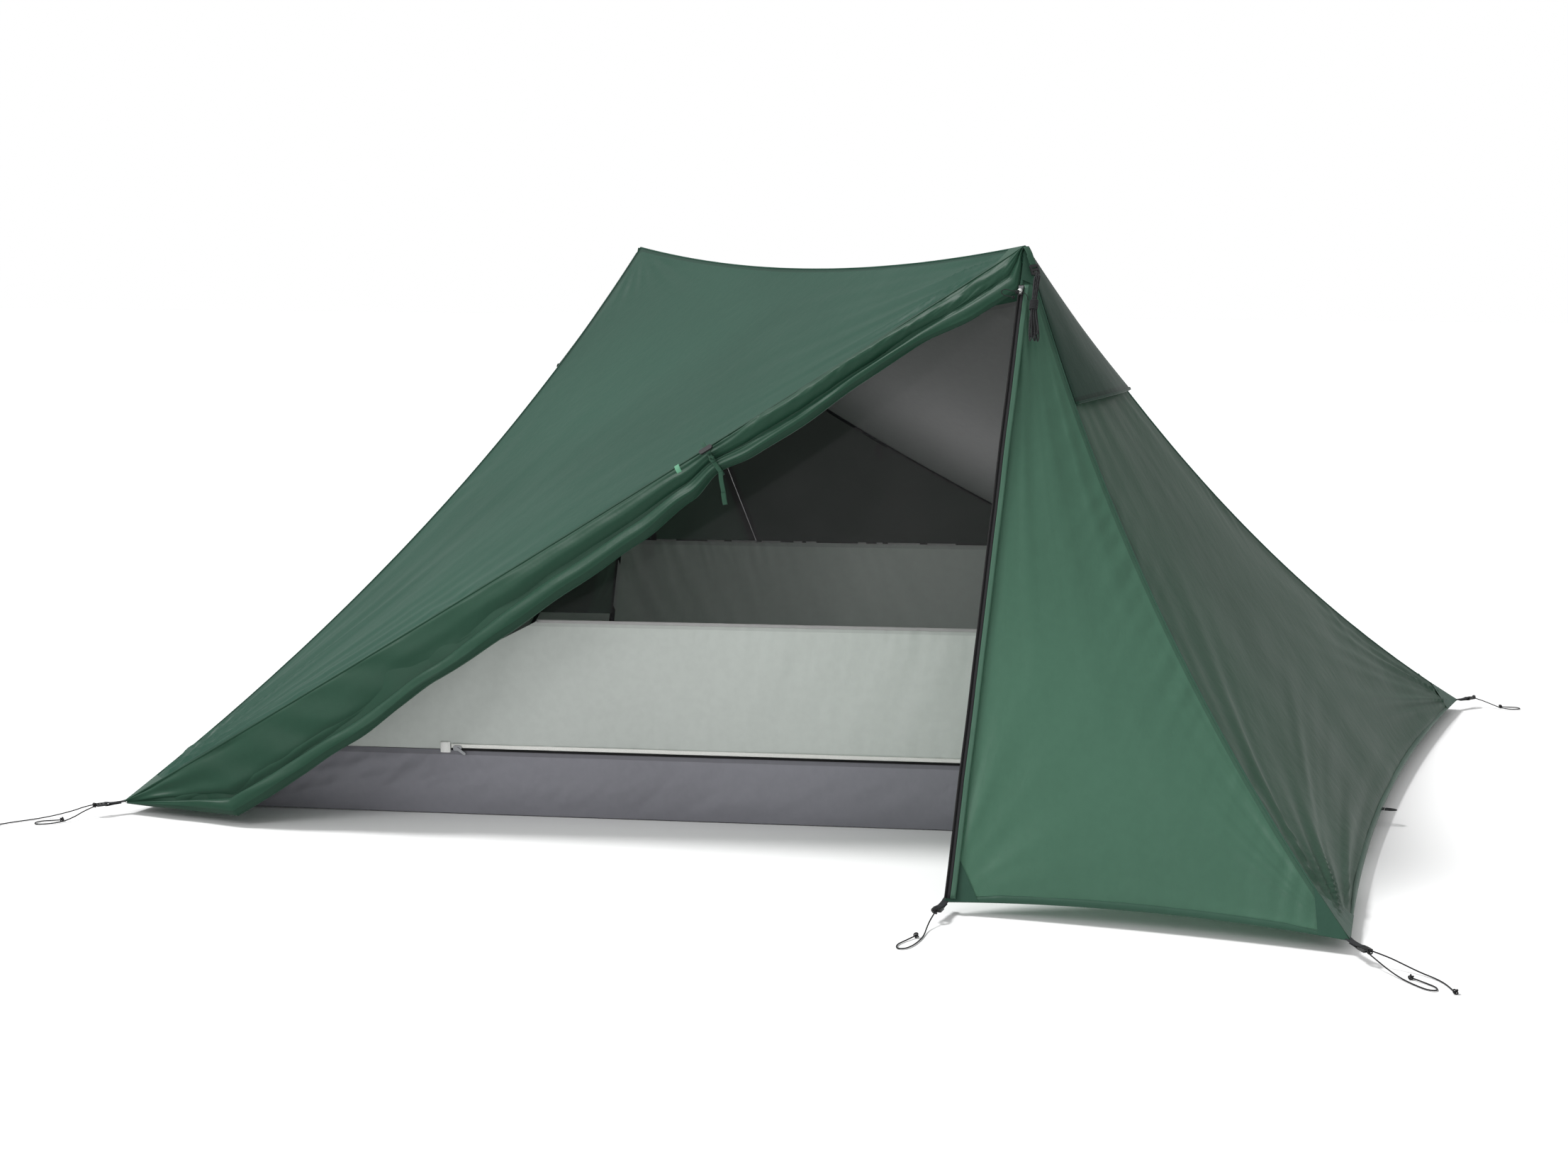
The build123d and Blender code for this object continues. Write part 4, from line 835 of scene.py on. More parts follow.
# ------------------------------------------------------------------ hem webbing
OUT_A, OUT_C = Vector((-0.62, -0.78, 0)).normalized(), Vector((0.62, -0.78, 0)).normalized()
OUT_B = Vector((0.02, -1, 0)).normalized()
HEM_POINTS = [("a", A, OUT_A), ("c", C, OUT_C), ("d", D, -OUT_A), ("e", E, -OUT_C), ("b", B, OUT_B),
              ("bb", BB, -OUT_B)]
for key, corner, out in HEM_POINTS:
    top = [corner + out * d + UP * z for d, z in
           ((-0.016, 0.0036), (-0.006, 0.0026), (0.004, 0.0008), (0.016, 0.0004), (0.028, 0.0006),
            (0.036, 0.0022), (0.0405, 0.0024), (0.0432, 0.0004), (0.0425, -0.0026), (0.037, -0.0034),
            (0.024, -0.0022), (0.008, -0.0016))]
    strap("tab_" + key, catmull(top, 40), 0.0135, 0.0012, UP, M_WEB)
for key, point, out in (("right", bowed(C, D, HEM_RIGHT, 0.42), Vector((1, 0, 0))),
                        ("left", bowed(E, A, HEM_LEFT, 0.42), Vector((-1, 0, 0)))):
    side = out.cross(UP)
    loop = [point + out * d + side * s + UP * 0.001 for d, s in
            ((-0.008, 0.0055), (0.008, 0.0058), (0.020, 0.0050), (0.0275, 0.0), (0.020, -0.0050),
             (0.008, -0.0058), (-0.008, -0.0055))]
    strap("stake_loop_" + key, catmull(loop, 40), 0.0016, 0.007, out, M_WEB)
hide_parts("hem_tabs")

# ------------------------------------------------------------------ peak guyline webbing and hank
SEAM_C_DIR = (bowed(P1, C, SEAM_P1C, 0.06) - P1).normalized()
SEAM_E_DIR = (bowed(P2, E, SEAM_P2E, 0.06) - P2).normalized()


def guy_axes(peak, along, sign):
    out = Vector((0.55 * sign, -0.62 * sign, 0.5))
    out = (out - along * out.dot(along)).normalized()
    return peak + out * 0.009 + along * 0.006, out


GUY_START = {}
for key, peak, along, sign in (("front", P1, SEAM_C_DIR, 1), ("back", P2, SEAM_E_DIR, -1)):
    start, out = guy_axes(peak, along, sign)
    path = [start + along * d + out * z for d, z in
            ((-0.004, -0.0060), (0.004, -0.0026), (0.014, 0.0), (0.028, 0.0006), (0.038, 0.0008),
             (0.0425, 0.0006), (0.0445, -0.0016), (0.041, -0.0032), (0.030, -0.0026), (0.016, -0.0022))]
    tab = strap("peak_tab_" + key, catmull(path, 36), 0.0125, 0.0011, out, M_TAB_GREEN)
    if key == "front":
        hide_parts("peak_guy_tabs")
    GUY_START[key] = start

FIXED_N = fixed_front.n
SLOPE = (UP - FIXED_N * UP.dot(FIXED_N)).normalized()
ACROSS = SLOPE.cross(FIXED_N)
HANK_TOP = GUY_START["front"] + SEAM_C_DIR * 0.062 + FIXED_N * 0.009 + mm(5, 0, 0)


def hank_point(x, y, z):
    return HANK_TOP + ACROSS * (x * 0.001) - SLOPE * (y * 0.001) + FIXED_N * (0.009 + z * 0.001)


HANK_R = 0.0013
hank_route = [hank_point(0, -4, -3), hank_point(-1, 8, -2)]
for k in range(9):
    x = -5.5 + 1.45 * k
    z = 2.6 * math.sin(k * 2.1)
    low, high = 128 + 8 * math.sin(k * 1.7), 8 + 5 * math.sin(k * 2.3)
    hank_route += [hank_point(x * 0.75, high + 6, z), hank_point(x * 0.62, 40, z),
                   hank_point(x * 0.55, 66, z),
                   hank_point(x + 2, 98, z), hank_point(x * 1.35 + 6, low, z),
                   hank_point(x * 1.35 + 8.5, low + 5, z + 1), hank_point(x * 1.3 + 9.5, low - 6, z + 1.5),
                   hank_point(x + 4, 92, z + 1.5), hank_point(x * 0.55 + 1, 62, z + 1.3),
                   hank_point(x * 0.65 + 1, 36, z + 1.2), hank_point(x * 0.8 + 1, high, z + 1)]
hank = tube("guy_hank", catmull(hank_route, 620), HANK_R, M_HANK, sides=7)
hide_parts("peak_guy_hank")
wrap = []
for k in range(150):
    q = 2 * math.pi * k / 22
    wrap.append(hank_point(1 + 7.4 * math.cos(q), 58 + 2.7 * k / 22, 1 + 5.6 * math.sin(q)))
tube("guy_hank_wrap", wrap, HANK_R, M_HANK, sides=7)

# ------------------------------------------------------------------ door tie-back
TIE_AT = bowed(P1, A, SEAM_P1A, TIE_T) - DOOR_N * 0.005 + HANG * 0.007


def tie_point(h, o, t=0.0):
    return TIE_AT + HANG * (h * 0.001) + DOOR_N * (o * 0.001) + SEAM_U * (t * 0.001)


ring = [(-5, 3), (4, 13), (18, 20), (34, 20), (48, 17), (58, 8), (60, -2), (52, -11), (34, -14), (14, -12),
        (0, -7)]
loop_pts = catmull([tie_point(h, o, 1.5 * math.sin(k)) for k, (h, o) in enumerate(ring + ring[:1])], 70)
hints = [((p - tie_point(28, 2)).normalized()) for p in loop_pts]
tie = strap("door_tie_band", loop_pts, 0.009, 0.0016, hints, M_TAB_GREEN)
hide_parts("door_tie_loop")
strap("door_tie_tab", catmull([tie_point(16, 22, 0), tie_point(4, 24, 1), tie_point(-8, 22, 3),
                               tie_point(-15, 19, 4)], 24), 0.008, 0.0022, DOOR_N, M_TAB_GREEN)


def knot(name, centre, axis, size, mat, body="tent", cord_r=0.00125):
    """Overhand knot drawn tight: a short trefoil tube."""
    hint = Vector((0.2, 0.3, 1)) if abs(axis.z) < 0.8 else Vector((1, 0.2, 0.1))
    a = axis.cross(hint).normalized()
    b = axis.cross(a)
    pts = []
    for k in range(54):
        q = 2 * math.pi * k / 54
        r = (2 + math.cos(3 * q)) / 3
        pts.append(centre + a * (size * r * math.cos(2 * q)) + b * (size * r * math.sin(2 * q))
                   + axis * (size * 0.62 * math.sin(3 * q)))
    return tube(name, pts, cord_r, mat, body, closed=True, sides=8)


knot("door_tie_knot", tie_point(30, 23), SEAM_U, 0.0055, M_TAB_GREEN, cord_r=0.0024)
hang_top = tie_point(60, 8)
down = Vector((0.17, 0, -1)).normalized()
hang_pts = [hang_top + down * d + DOOR_N * z for d, z in
            ((-0.004, 0.0), (0.008, 0.003), (0.022, 0.004), (0.040, 0.002), (0.056, 0.003), (0.064, 0.002))]
hanging = strap("door_tie_end", catmull(hang_pts, 30), 0.0095, 0.0014, DOOR_N, M_TAB_GREEN)
strap("door_tie_end_fold", catmull([p + DOOR_N * 0.0016 for p in hang_pts[-3:]], 12), 0.0102, 0.0022,
      DOOR_N, M_TAB_GREEN)
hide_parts("door_tie_strap")
strap("elastic_tab", catmull([bowed(P1, A, SEAM_P1A, 0.368) + HANG * h + DOOR_N * o for h, o in
                              ((0.002, 0.010), (0.010, 0.013), (0.019, 0.012), (0.025, 0.008))], 14),
      0.011, 0.0022, DOOR_N, M_LIGHT_GREEN)

# ------------------------------------------------------------------ inner tent
FLOOR_HALF, FLOOR_Y0, FLOOR_SLOPE = 1.100, -0.645, 0.245
TUB_H, TUB_LOW, SKIRT_H, SKIRT_LOW, INNER_PEAK = 0.140, 0.120, 0.420, 0.220, 1.085


def front_edge(x):
    return FLOOR_Y0 + FLOOR_SLOPE * x


WALL_U = Vector((1, FLOOR_SLOPE, 0)).normalized()
WALL_OUT = Vector((FLOOR_SLOPE, -1, 0)).normalized()
K = 1 / WALL_U.x
F1 = Vector((-FLOOR_HALF, front_edge(-FLOOR_HALF), 0))
F2 = Vector((FLOOR_HALF, front_edge(FLOOR_HALF), 0))
F3, F4 = -F1, -F2
Q1 = Vector((0.545, front_edge(0.545), INNER_PEAK))
Q2 = Vector((-0.748, -front_edge(0.748), INNER_PEAK))
G1, G2, G3, G4 = F1 + UP * TUB_LOW, F2 + UP * TUB_H, F3 + UP * TUB_LOW, F4 + UP * TUB_H
IN_RIDGE, IN_ROOF_WALL = mm(0, 0, -62), mm(0, 0, -96)
IN_WALL_END, IN_WALL_END_B = WALL_U * -0.042 - UP * 0.016, WALL_U * 0.042 - UP * 0.016
IN_END_ROOF, IN_END_ROOF_B = mm(-52, -18, -50), mm(54, 18, -46)

NET_WRAP = 0.24
N_IN = 110
inner_panels = {
    "inner_roof_front": (Panel(Q1, Q2, G1, IN_RIDGE, IN_END_ROOF_B, IN_ROOF_WALL, mm(0, 0, 6), UP), 21.0),
    "inner_roof_back": (Panel(Q2, Q1, G3, IN_RIDGE, IN_END_ROOF, IN_ROOF_WALL, mm(0, 0, 6), UP), 25.0),
    "inner_end_right": (Panel(Q1, G2, G3, IN_WALL_END, STRAIGHT, IN_END_ROOF, mm(10, 0, 6), OUT_R), 31.0),
    "inner_end_left": (Panel(Q2, G4, G1, IN_WALL_END_B, STRAIGHT, IN_END_ROOF_B, mm(-10, 0, 6), OUT_L), 37.0)}
for node, (panel, seed) in inner_panels.items():
    obj = triangle(node + "_cloth", panel, N_IN, M_INNER,
                   creases(panel, [(0, 12, 0.003, 0.25), (1, 10, 0.004, 0.3), (2, 14, 0.004, 0.4)],
                           [(0, 0.002, 0.06, 0.08)], 0.005, seed))
    if node == "inner_roof_front":
        # the netting wraps a little way over the roof beside the doorway
        obj.data.materials.append(M_NET)
        off = [j / N_IN * panel.h[1] for i in range(N_IN + 1) for j in range(N_IN + 1 - i)]
        for poly in obj.data.polygons:
            poly.material_index = int(max(off[k] for k in poly.vertices) < NET_WRAP)
    declare(node)


def seam_line(peak, low, sag, back, drop, inset_x=0.0):
    """(x, z) along a seam in a wall's own plane, from the top down."""
    sign = -1 if back else 1
    pts = [bowed(peak, low, sag, k / 60) for k in range(61)]
    return [(p.x * K * sign - inset_x, p.z - drop) for p in pts]


def x_at(line, z):
    for (xa, za), (xb, zb) in zip(line, line[1:]):
        if za >= z >= zb:
            return xa + (xb - xa) * (za - z) / (za - zb)
    return line[0][0] if z > line[0][1] else line[-1][0]


def wall_point(x, z, back, out=0.0):
    u, o, y0 = (-WALL_U, -WALL_OUT, -FLOOR_Y0) if back else (WALL_U, WALL_OUT, FLOOR_Y0)
    return Vector((0, y0, 0)) + u * x + UP * z + o * out


def patch_grid(spans, rows, cols, back, ripple, verts, uvs, faces):
    """Adds a grid over a wall between two edges; spans(f) gives (z, left x, right x)."""
    base = len(verts)
    for i in range(rows):
        z, xl, xr = spans(i / (rows - 1))
        for j in range(cols):
            s = j / (cols - 1)
            x = xl + (xr - xl) * s
            verts.append(wall_point(x, z, back, ripple(x, z)))
            uvs.append((x, z))
    faces += [tuple(base + k for k in f) for f in grid_faces(rows, cols)]


def between_edges(low, high, left, right):
    """Rows for patch_grid from one height to another; left and right give x at a height."""
    def spans(f):
        z = low + (high - low) * f
        return z, left(z), right(z)
    return spans


ZIP_X0 = -0.617 * K


def declare_flat(node):
    """Hides the CAD node of a sheet that isn't a triangle."""
    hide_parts(node)


def wall(back):
    peak, near, far = (Q2, G3, G4) if back else (Q1, G1, G2)
    end_sag = IN_WALL_END_B if back else IN_WALL_END
    word = "back" if back else "front"
    sd = 50.0 if back else 43.0
    roof = seam_line(peak, near, IN_ROOF_WALL, back, 0.004 if back else 0.0)
    end = seam_line(peak, far, end_sag, back, 0.004, 0.005)
    px = peak.x * K * (-1 if back else 1)
    top_z = INNER_PEAK - 0.012
    slope = -0.106 / (INNER_PEAK - 0.034 - SKIRT_LOW)

    def roof_x(z):
        return x_at(roof, z)

    def end_x(z):
        return x_at(end, z)

    def zip_x(z):
        lo, hi = roof_x(z), end_x(z)
        return min(hi, max(lo, px + slope * (z - INNER_PEAK + 0.034)))

    def fade(z, h0, h1):
        return smooth(z, h0, h0 + 0.04) * smooth(h1 - z, 0.0, 0.03)

    def net_ripple(x, z):
        slack = 0.004 * wave(x * 2.2, z * 2.5, sd) + 0.0018 * wave(x * 9 + z * 4, z * 5, sd)
        return slack * fade(z, SKIRT_LOW, top_z)

    def skirt_ripple(x, z):
        drop = (SKIRT_H - z) / (SKIRT_H - TUB_H)
        a = 0.0055 * wave(x * 5.0 + 0.8 * drop, z * 2.0, sd + 2)
        b = 0.0050 * wave(x * 17 + 2.2 * drop, z * 3.0, sd + 3) * smooth(wave(x * 2.2, sd), -0.3, 0.4)
        c = 0.0022 * wave(x * 48 + 3 * drop, z * 6.0, sd + 4) * math.exp(-max(0.0, drop) * 3.5)
        d = 0.0018 * wave(x * 44, z * 6.0, sd + 5) * math.exp(-max(0.0, 1 - drop) * 5)
        return (a + b) * fade(z, TUB_H, SKIRT_H) + c + d

    verts, uvs, faces = [], [], []
    n1, n2 = ((70, 120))
    grown = (verts, uvs, faces)
    patch_grid(between_edges(SKIRT_H, top_z, roof_x, zip_x), n1, n2, back, net_ripple, *grown)
    patch_grid(between_edges(SKIRT_LOW, top_z, zip_x, end_x), n1, n2 // 2, back, net_ripple, *grown)
    net = make_object(f"netting_{word}", verts, faces, M_NET_FAR_SHADED if back else M_NET, "tent", uvs)
    declare_flat(f"inner_mesh_{word}")

    verts, uvs, faces = [], [], []
    z0 = TUB_H + 0.001
    n1, n2 = ((44, 420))
    grown = (verts, uvs, faces)
    patch_grid(between_edges(z0, SKIRT_H, roof_x, zip_x), n1, n2, back, skirt_ripple, *grown)
    patch_grid(between_edges(z0, SKIRT_LOW, zip_x, end_x), n1 // 2, n2 // 3, back, skirt_ripple, *grown)
    edge = [min(1.0, abs(SKIRT_H - v[1]) if v[0] < px + 0.2 else 1.0) for v in uvs]
    skirt = make_object(f"skirt_{word}", verts, faces, M_SKIRT, "tent", uvs, edge)
    declare_flat(f"inner_skirt_{word}")
    left = x_at(roof, SKIRT_H)
    bound = [left + (zip_x(SKIRT_H) - left) * k / 90 for k in range(91)]
    strap(f"skirt_binding_{word}",
          [wall_point(x, SKIRT_H, back, 0.0008 + skirt_ripple(x, SKIRT_H)) for x in bound],
          0.007, 0.0016, -WALL_OUT if back else WALL_OUT, M_INNER)

    # bathtub wall: top edge taut, body slack
    near_x, far_x = near.x * K * (-1 if back else 1), far.x * K * (-1 if back else 1)
    tub_l = x_at(roof, TUB_H + 0.001)

    def tub_top(x):
        if x < tub_l:
            return TUB_LOW - 0.005 + (TUB_H - TUB_LOW + 0.005) * smooth(x, near_x, tub_l)
        return TUB_H

    def tub_ripple(x, f):
        mid = math.sin(math.pi * min(1.0, f * 0.96))
        a = 0.0080 * wave(x * 3.2 + f * 0.8, f * 1.2, sd + 7)
        b = 0.0068 * wave(x * 11 - f * 2.6, f * 1.6, sd + 8)
        c = 0.0036 * wave(x * 30 - f * 4.0, f * 2.0, sd + 9) * smooth(wave(x * 1.8, sd + 1), -0.3, 0.3)
        star = math.exp(-((x - ZIP_X0) / 0.07) ** 2) * 0.0100
        star = star * wave((x - ZIP_X0) * 26 / (0.35 + 1.2 * (1 - f)), 1.3, sd)
        corner = math.exp(-(x - near_x) / 0.30) * 0.012 * wave((x - near_x) * 9 - f * 5.5, f, sd + 10)
        return (0.006 + a + b + c + corner) * mid + star * (f * (1 - f) * 4)

    cols, rows = ((520, 34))
    verts, uvs, edge = [], [], []
    for i in range(rows):
        f = i / (rows - 1)
        for j in range(cols):
            x = near_x + (far_x - near_x) * j / (cols - 1)
            z = 0.0018 + (tub_top(x) - 0.0018) * f
            verts.append(wall_point(x, z, back, tub_ripple(x, f)))
            uvs.append((x, z))
            edge.append(min(1.0, (1 - f) * 0.14))
    tub = make_object(f"tub_{word}", verts, grid_faces(rows, cols), M_TUB, "tent", uvs, edge)
    declare_flat(f"inner_tub_{word}")

    # the door zip: an off-white flap over a thin black coil, level and then up to the peak
    out = -WALL_OUT if back else WALL_OUT
    x1 = zip_x(TUB_H + 0.004)
    level = [ZIP_X0 + (x1 - ZIP_X0) * k / 150 for k in range(151)]
    flap = strap(f"inner_zip_flap_{word}",
                 [wall_point(x, TUB_H + 0.0085 + 0.0007 * wave(x * 5, sd), back,
                             0.0022 + 0.0008 * wave(x * 14, sd + 3)) for x in level],
                 0.0085, 0.0014, out, M_ZIPWHITE)
    strap(f"inner_zip_coil_{word}", [wall_point(x, TUB_H + 0.0012, back, 0.0024) for x in level], 0.0050,
          0.0022, out, M_ZIPBLACK)
    zs = [TUB_H + 0.004 + (INNER_PEAK - 0.040 - TUB_H) * k / 90 for k in range(91)]
    strap(f"inner_zip_rise_{word}", [wall_point(zip_x(z), z, back, 0.0020) for z in zs], 0.014, 0.0012, out,
          M_ZIPTAPE)
    strap(f"inner_zip_rise_coil_{word}", [wall_point(zip_x(z), z, back, 0.0032) for z in zs], 0.0045, 0.0016,
          out, M_ZIPBLACK)
    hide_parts(f"inner_zip_{word}")
    block = []
    for z, grow in ((-0.0115, 0.0), (-0.0105, 0.6), (0, 0.8), (0.0105, 0.6), (0.0115, 0.0)):
        block.append([wall_point(ZIP_X0 - 0.013 + sx * (0.0105 + grow * 0.001), TUB_H + 0.005 + z, back, o)
                      for sx, o in ((-1, 0.0010), (-0.92, 0.0022 + grow * 0.0008),
                                    (0, 0.0030 + grow * 0.0008),
                                    (0.92, 0.0022 + grow * 0.0008), (1, 0.0010), (0, 0.0004))])
    stop = solid_grid(f"inner_zip_stop_{word}", block, M_BLOCK)
    if not back:
        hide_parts("inner_zip_stops")

    # taped seams of the netting
    for key, line in (("roof", roof), ("end", end)):
        if back or key == "end":
            strap(f"net_binding_{key}_{word}", [wall_point(x, z, back, 0.0014) for x, z in line[1:]], 0.009,
                  0.0014, out, M_WEB_INNER)


wall(False)
wall(True)

# floor and the tub's end walls
rows, cols = 60, 100
verts, uvs = [], []
for i in range(rows):
    f = i / (rows - 1)
    for j in range(cols):
        s = j / (cols - 1)
        p = F1.lerp(F2, s).lerp(F4.lerp(F3, s), f)
        inner = min(f, 1 - f, s, 1 - s)
        lift = 0.0016 + 0.0022 * (0.5 + 0.5 * wave(p.x * 6, p.y * 7, 2.0)) * smooth(inner, 0, 0.06)
        verts.append(Vector((p.x, p.y, lift)))
        uvs.append((p.x, p.y))
floor_cloth = make_object("floor_cloth", verts, grid_faces(rows, cols), M_TUB, "tent", uvs)
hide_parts("inner_floor")
verts, uvs, faces, edge = [], [], [], []
for sign, (near, far) in ((1, (F2, F3)), (-1, (F4, F1))):
    base = len(verts)
    rows, cols = 14, 120
    for i in range(rows):
        f = i / (rows - 1)
        for j in range(cols):
            s = j / (cols - 1)
            top = TUB_H - 0.004 + (TUB_LOW - TUB_H) * s
            p = near.lerp(far, 0.003 + 0.994 * s)
            bulge = 0.004 + 0.004 * wave(p.y * 4, f, sign * 3.0) + 0.002 * wave(p.y * 15, f * 2, sign)
            bulge = bulge * math.sin(math.pi * f)
            verts.append(Vector((p.x + sign * bulge, p.y, 0.0018 + (top - 0.0018) * f)))
            uvs.append((p.y, top * f))
            edge.append(min(1.0, (1 - f) * 0.14))
    faces += [tuple(base + k for k in fc) for fc in grid_faces(rows, cols)]
tub_ends = make_object("tub_ends", verts, faces, M_TUB, "tent", uvs, edge)
declare_flat("inner_tub_ends")


def peak_strap(name, p, q, width, thick, hint, slack=0.0):
    pts = [p.lerp(q, k / 24) - UP * (slack * math.sin(math.pi * k / 24)) for k in range(25)]
    return strap(name, pts, width, thick, hint, M_WEB_INNER)


straps = [peak_strap(f"peak_strap_{key}", low + mm(-6 * sign, 6 * sign, 2),
                     high + mm(-7 * sign, 9 * sign, -34), 0.010, 0.0014, Vector((0, 1, 0)))
          for key, low, high, sign in (("front", Q1, P1, 1), ("back", Q2, P2, -1))]
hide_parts("inner_peak_straps")
low = [(F1 + mm(-3, -3, 8), A + mm(36, 30, -4)), (F3 + mm(3, 3, 8), D + mm(-36, -30, -4)),
       (F2 + mm(3, -2, 8), Vector((1.213, F2.y - 0.020, 0.020))),
       (F4 + mm(-3, 2, 8), Vector((-1.213, F4.y + 0.020, 0.020)))]
corner = [peak_strap(f"corner_strap_{k}", p, q, 0.012, 0.0016, UP, 0.001) for k, (p, q) in enumerate(low)]
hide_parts("inner_corner_straps")

# small tie-backs of the far inner door, seen through the netting
for key, x, y, z, length in (("left", -0.744, 0.470, 0.440, 0.062), ("right", -0.157, 0.612, 0.700, 0.055)):
    pts = [Vector((x + 0.004 * math.sin(k), y, z - length * k / 8)) for k in range(9)]
    strap(f"inner_tie_{key}", catmull(pts, 20), 0.013, 0.0025, WALL_OUT, M_WEB_INNER)

# ------------------------------------------------------------------ finishes of the CAD parts
finish_nodes(M_BUCKLE, "hem_adjusters", "peak_guy_adjusters", "vent_strut_right", "vent_strut_left",
             "door_tie_toggle")
finish_nodes(M_SLIDER, "inner_slider_front", "inner_slider_back", "fly_slider_front", "fly_slider_back")
for part, mat in (("tip", M_ALU), ("shaft", M_CARBON), ("grip", M_FOAM), ("clamp", M_CLAMP),
                  ("lever", M_LEVER)):
    finish_nodes(mat, f"pole_front_{part}", f"pole_back_{part}")

# ------------------------------------------------------------------ cords
GZ = 1.6
CORD_R = 0.00125
CORD_AT = 34.0 + 27.6
ax, ay = (A * 1000 + OUT_A * CORD_AT).x, (A * 1000 + OUT_A * CORD_AT).y
cx, cy, dx, dy = -ax, ay, -ax, -ay
bx, by = B.x * 1000 + 1, B.y * 1000 - CORD_AT
CORDS = {
    "cord_a_loop": [(ax + 3, ay - 2, 24), (ax - 12, ay - 18, 17), (ax - 22, ay - 42, 7),
                    (ax - 33, ay - 66, 2),
                    (ax - 50, ay - 86, GZ), (ax - 70, ay - 100, GZ), (ax - 84, ay - 92, GZ),
                    (ax - 80, ay - 74, GZ), (ax - 60, ay - 62, GZ), (ax - 42, ay - 55, 3)],
    "cord_a_tail": [(ax - 5, ay + 4, 25), (ax - 26, ay - 1, 20), (ax - 46, ay - 12, 12),
                    (ax - 78, ay - 38, 4),
                    (ax - 104, ay - 70, GZ), (ax - 128, ay - 100, GZ), (ax - 146, ay - 132, GZ)],
    "cord_c_loop": [(cx - 3, cy - 2, 24), (cx + 14, cy - 16, 17), (cx + 34, cy - 30, 8),
                    (cx + 56, cy - 48, 2),
                    (cx + 80, cy - 72, GZ), (cx + 103, cy - 90, GZ), (cx + 118, cy - 88, GZ),
                    (cx + 116, cy - 72, GZ), (cx + 96, cy - 56, GZ), (cx + 72, cy - 42, 3)],
    "cord_c_tail": [(cx + 5, cy + 4, 25), (cx + 30, cy, 20), (cx + 56, cy - 6, 12), (cx + 84, cy - 14, 4),
                    (cx + 112, cy - 30, GZ), (cx + 132, cy - 56, GZ), (cx + 146, cy - 88, GZ)],
    "cord_d_loop": [(dx, dy, 24), (dx + 18, dy + 4, 19), (dx + 42, dy + 2, 11), (dx + 66, dy - 4, 4),
                    (dx + 90, dy - 6, GZ), (dx + 110, dy + 2, GZ), (dx + 116, dy + 16, GZ),
                    (dx + 104, dy + 26, GZ), (dx + 84, dy + 22, GZ), (dx + 66, dy + 12, 3)],
    "cord_b_loop": [(bx, by, 21), (bx - 2, by - 20, 14), (bx - 1, by - 46, 5), (bx + 4, by - 74, GZ),
                    (bx + 6, by - 104, GZ), (bx + 4, by - 136, GZ), (bx - 4, by - 158, GZ),
                    (bx - 18, by - 160, GZ), (bx - 24, by - 140, GZ), (bx - 16, by - 112, GZ),
                    (bx - 6, by - 88, 4)]}
kx, ky, kz = BEAD_F * 1000
CORDS["pull_cord"] = [(kx + 18, ky - 6, kz - 17), (kx + 17, ky - 7, kz - 8), (kx + 10, ky - 8, kz - 3),
                      (kx, ky - 8, kz - 1), (kx - 14, ky - 8, kz), (kx - 28, ky - 7, kz + 4),
                      (kx - 37, ky - 6, kz - 1), (kx - 32, ky - 6, kz - 8), (kx - 20, ky - 8, kz - 10),
                      (kx - 10, ky - 10, kz - 12)]


def nurbs_cord(name, route, radius, body):
    curve = bpy.data.curves.new(name + "_line", "CURVE")
    curve.dimensions = "3D"
    spline = curve.splines.new("NURBS")
    spline.points.add(len(route) - 1)
    for point, p in zip(spline.points, route):
        point.co = (p[0] * 0.001, p[1] * 0.001, p[2] * 0.001, 1)
    spline.order_u = 3
    spline.use_endpoint_u = True
    spline.resolution_u = 10
    curve.bevel_depth = radius
    curve.bevel_resolution = 3
    curve.use_fill_caps = True
    curve.materials.append(M_CORD)
    obj = bpy.data.objects.new(name + "_line", curve)
    scene.collection.objects.link(obj)
    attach(obj, body)
    return obj


for name, route in CORDS.items():
    body = "fly_slider_front" if name == "pull_cord" else "tent"
    radius = 0.0007 if name == "pull_cord" else CORD_R
    obj = nurbs_cord(name, route, radius, body)
    end, before = Vector(route[-1]) * 0.001, Vector(route[-2]) * 0.001
    size = 0.0030 if name == "pull_cord" else 0.0042
    centre = end.copy()
    centre.z = max(centre.z, size * 0.62 + radius) if name != "pull_cord" else centre.z
    pieces = [knot(name + "_knot", centre, (end - before).normalized(), size, M_CORD, body, radius)]
    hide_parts(name)
for key, corner_at, out in HEM_POINTS:
    knot("lashing_" + key, corner_at + out * 0.0625 + UP * 0.0005, out, 0.0046, M_CORD)
knot("bow_knot", BEAD_F + mm(-3, -7, -2), Vector((1, 0, 0)), 0.0042, M_CORD, "fly_slider_front", 0.0009)

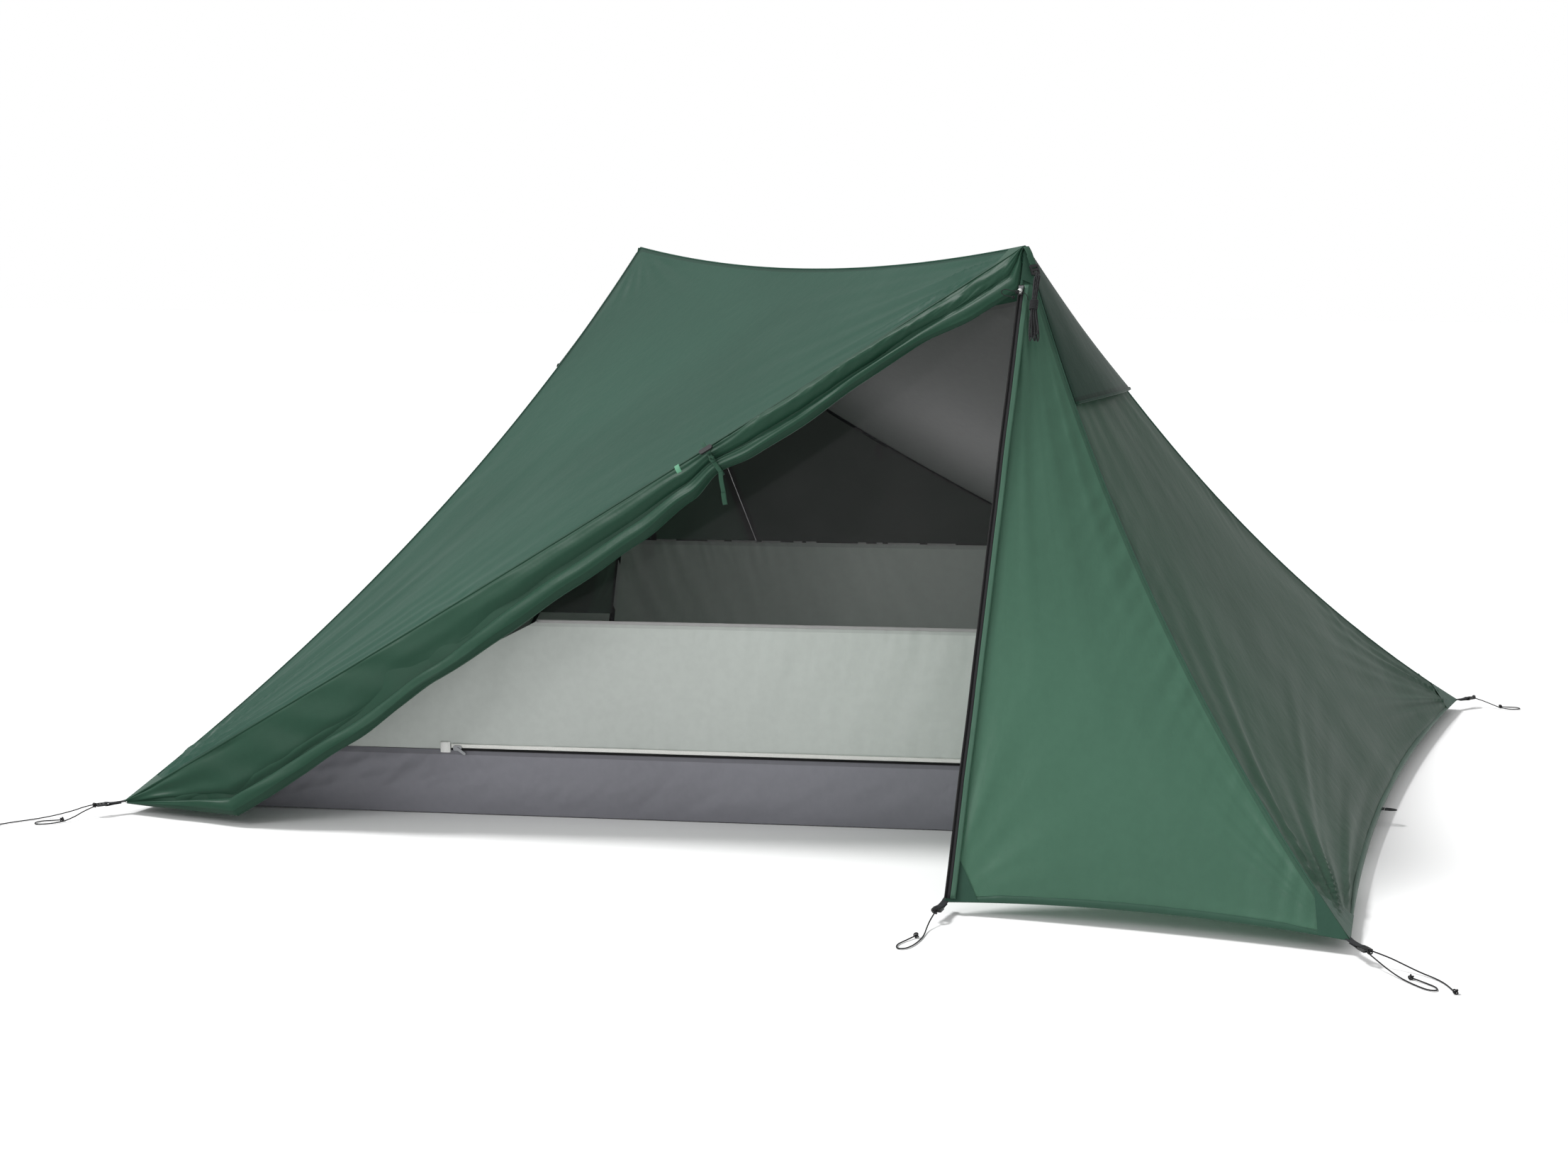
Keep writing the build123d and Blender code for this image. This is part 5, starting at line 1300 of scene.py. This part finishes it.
# ------------------------------------------------------------------ stage and light
WORLD_LIGHT = 0.60
world = bpy.data.worlds.new("world")
scene.world = world
world.use_nodes = True
wt = world.node_tree
wt.nodes.clear()
w_out, w_seen, w_lit = (wt.nodes.new(k) for k in ("ShaderNodeOutputWorld", "ShaderNodeBackground",
                                                  "ShaderNodeBackground"))
w_mix, w_path = wt.nodes.new("ShaderNodeMixShader"), wt.nodes.new("ShaderNodeLightPath")
w_seen.inputs[0].default_value = w_lit.inputs[0].default_value = (1, 1, 1, 1)
w_seen.inputs[1].default_value, w_lit.inputs[1].default_value = 1.0, WORLD_LIGHT
wt.links.new(w_path.outputs["Is Camera Ray"], w_mix.inputs[0])
wt.links.new(w_lit.outputs[0], w_mix.inputs[1])
wt.links.new(w_seen.outputs[0], w_mix.inputs[2])
wt.links.new(w_mix.outputs[0], w_out.inputs[0])

floor_mesh = bpy.data.meshes.new("floor")
FLOOR = 30.0
floor_mesh.from_pydata([(-FLOOR, -FLOOR, -0.0006), (FLOOR, -FLOOR, -0.0006), (FLOOR, FLOOR, -0.0006),
                        (-FLOOR, FLOOR, -0.0006)], [], [(0, 1, 2, 3)])
floor = bpy.data.objects.new("floor", floor_mesh)
scene.collection.objects.link(floor)
floor_shader = Shader("studio_floor")
floor_shader.set(Roughness=0.9, Specular_IOR_Level=0.1)
floor_shader.colour(floor_shader.ramp(floor_shader.noise(0.4, 2.0), (0.3, (0.93, 0.93, 0.93, 1)),
                                      (0.7, (0.95, 0.95, 0.95, 1))))
floor_mesh.materials.append(floor_shader.mat)


def softbox(name, place, aim, size, power):
    data = bpy.data.lights.new(name, "AREA")
    data.shape, data.size, data.energy = "DISK", size, power
    obj = bpy.data.objects.new(name, data)
    scene.collection.objects.link(obj)
    obj.location = place
    obj.rotation_mode = "QUATERNION"
    obj.rotation_quaternion = (Vector(aim) - Vector(place)).to_track_quat("-Z", "Y")


softbox("front", (-2.6, -5.0, 3.4), (0, 0, 0.5), 2.2, 60)
glow_data = bpy.data.lights.new("inside_fill", "POINT")
glow_data.energy, glow_data.shadow_soft_size = 5.0, 0.25
glow = bpy.data.objects.new("inside_fill", glow_data)
scene.collection.objects.link(glow)
glow.location = (0.10, 0.05, 0.42)
glow.visible_camera = False
sun_data = bpy.data.lights.new("sun", "SUN")
sun_data.energy, sun_data.angle = 2.5, math.radians(14)
sun = bpy.data.objects.new("sun", sun_data)
scene.collection.objects.link(sun)
sun.rotation_mode = "QUATERNION"
sun.rotation_quaternion = Vector((0.66, 0.03, -1.0)).to_track_quat("-Z", "Y")
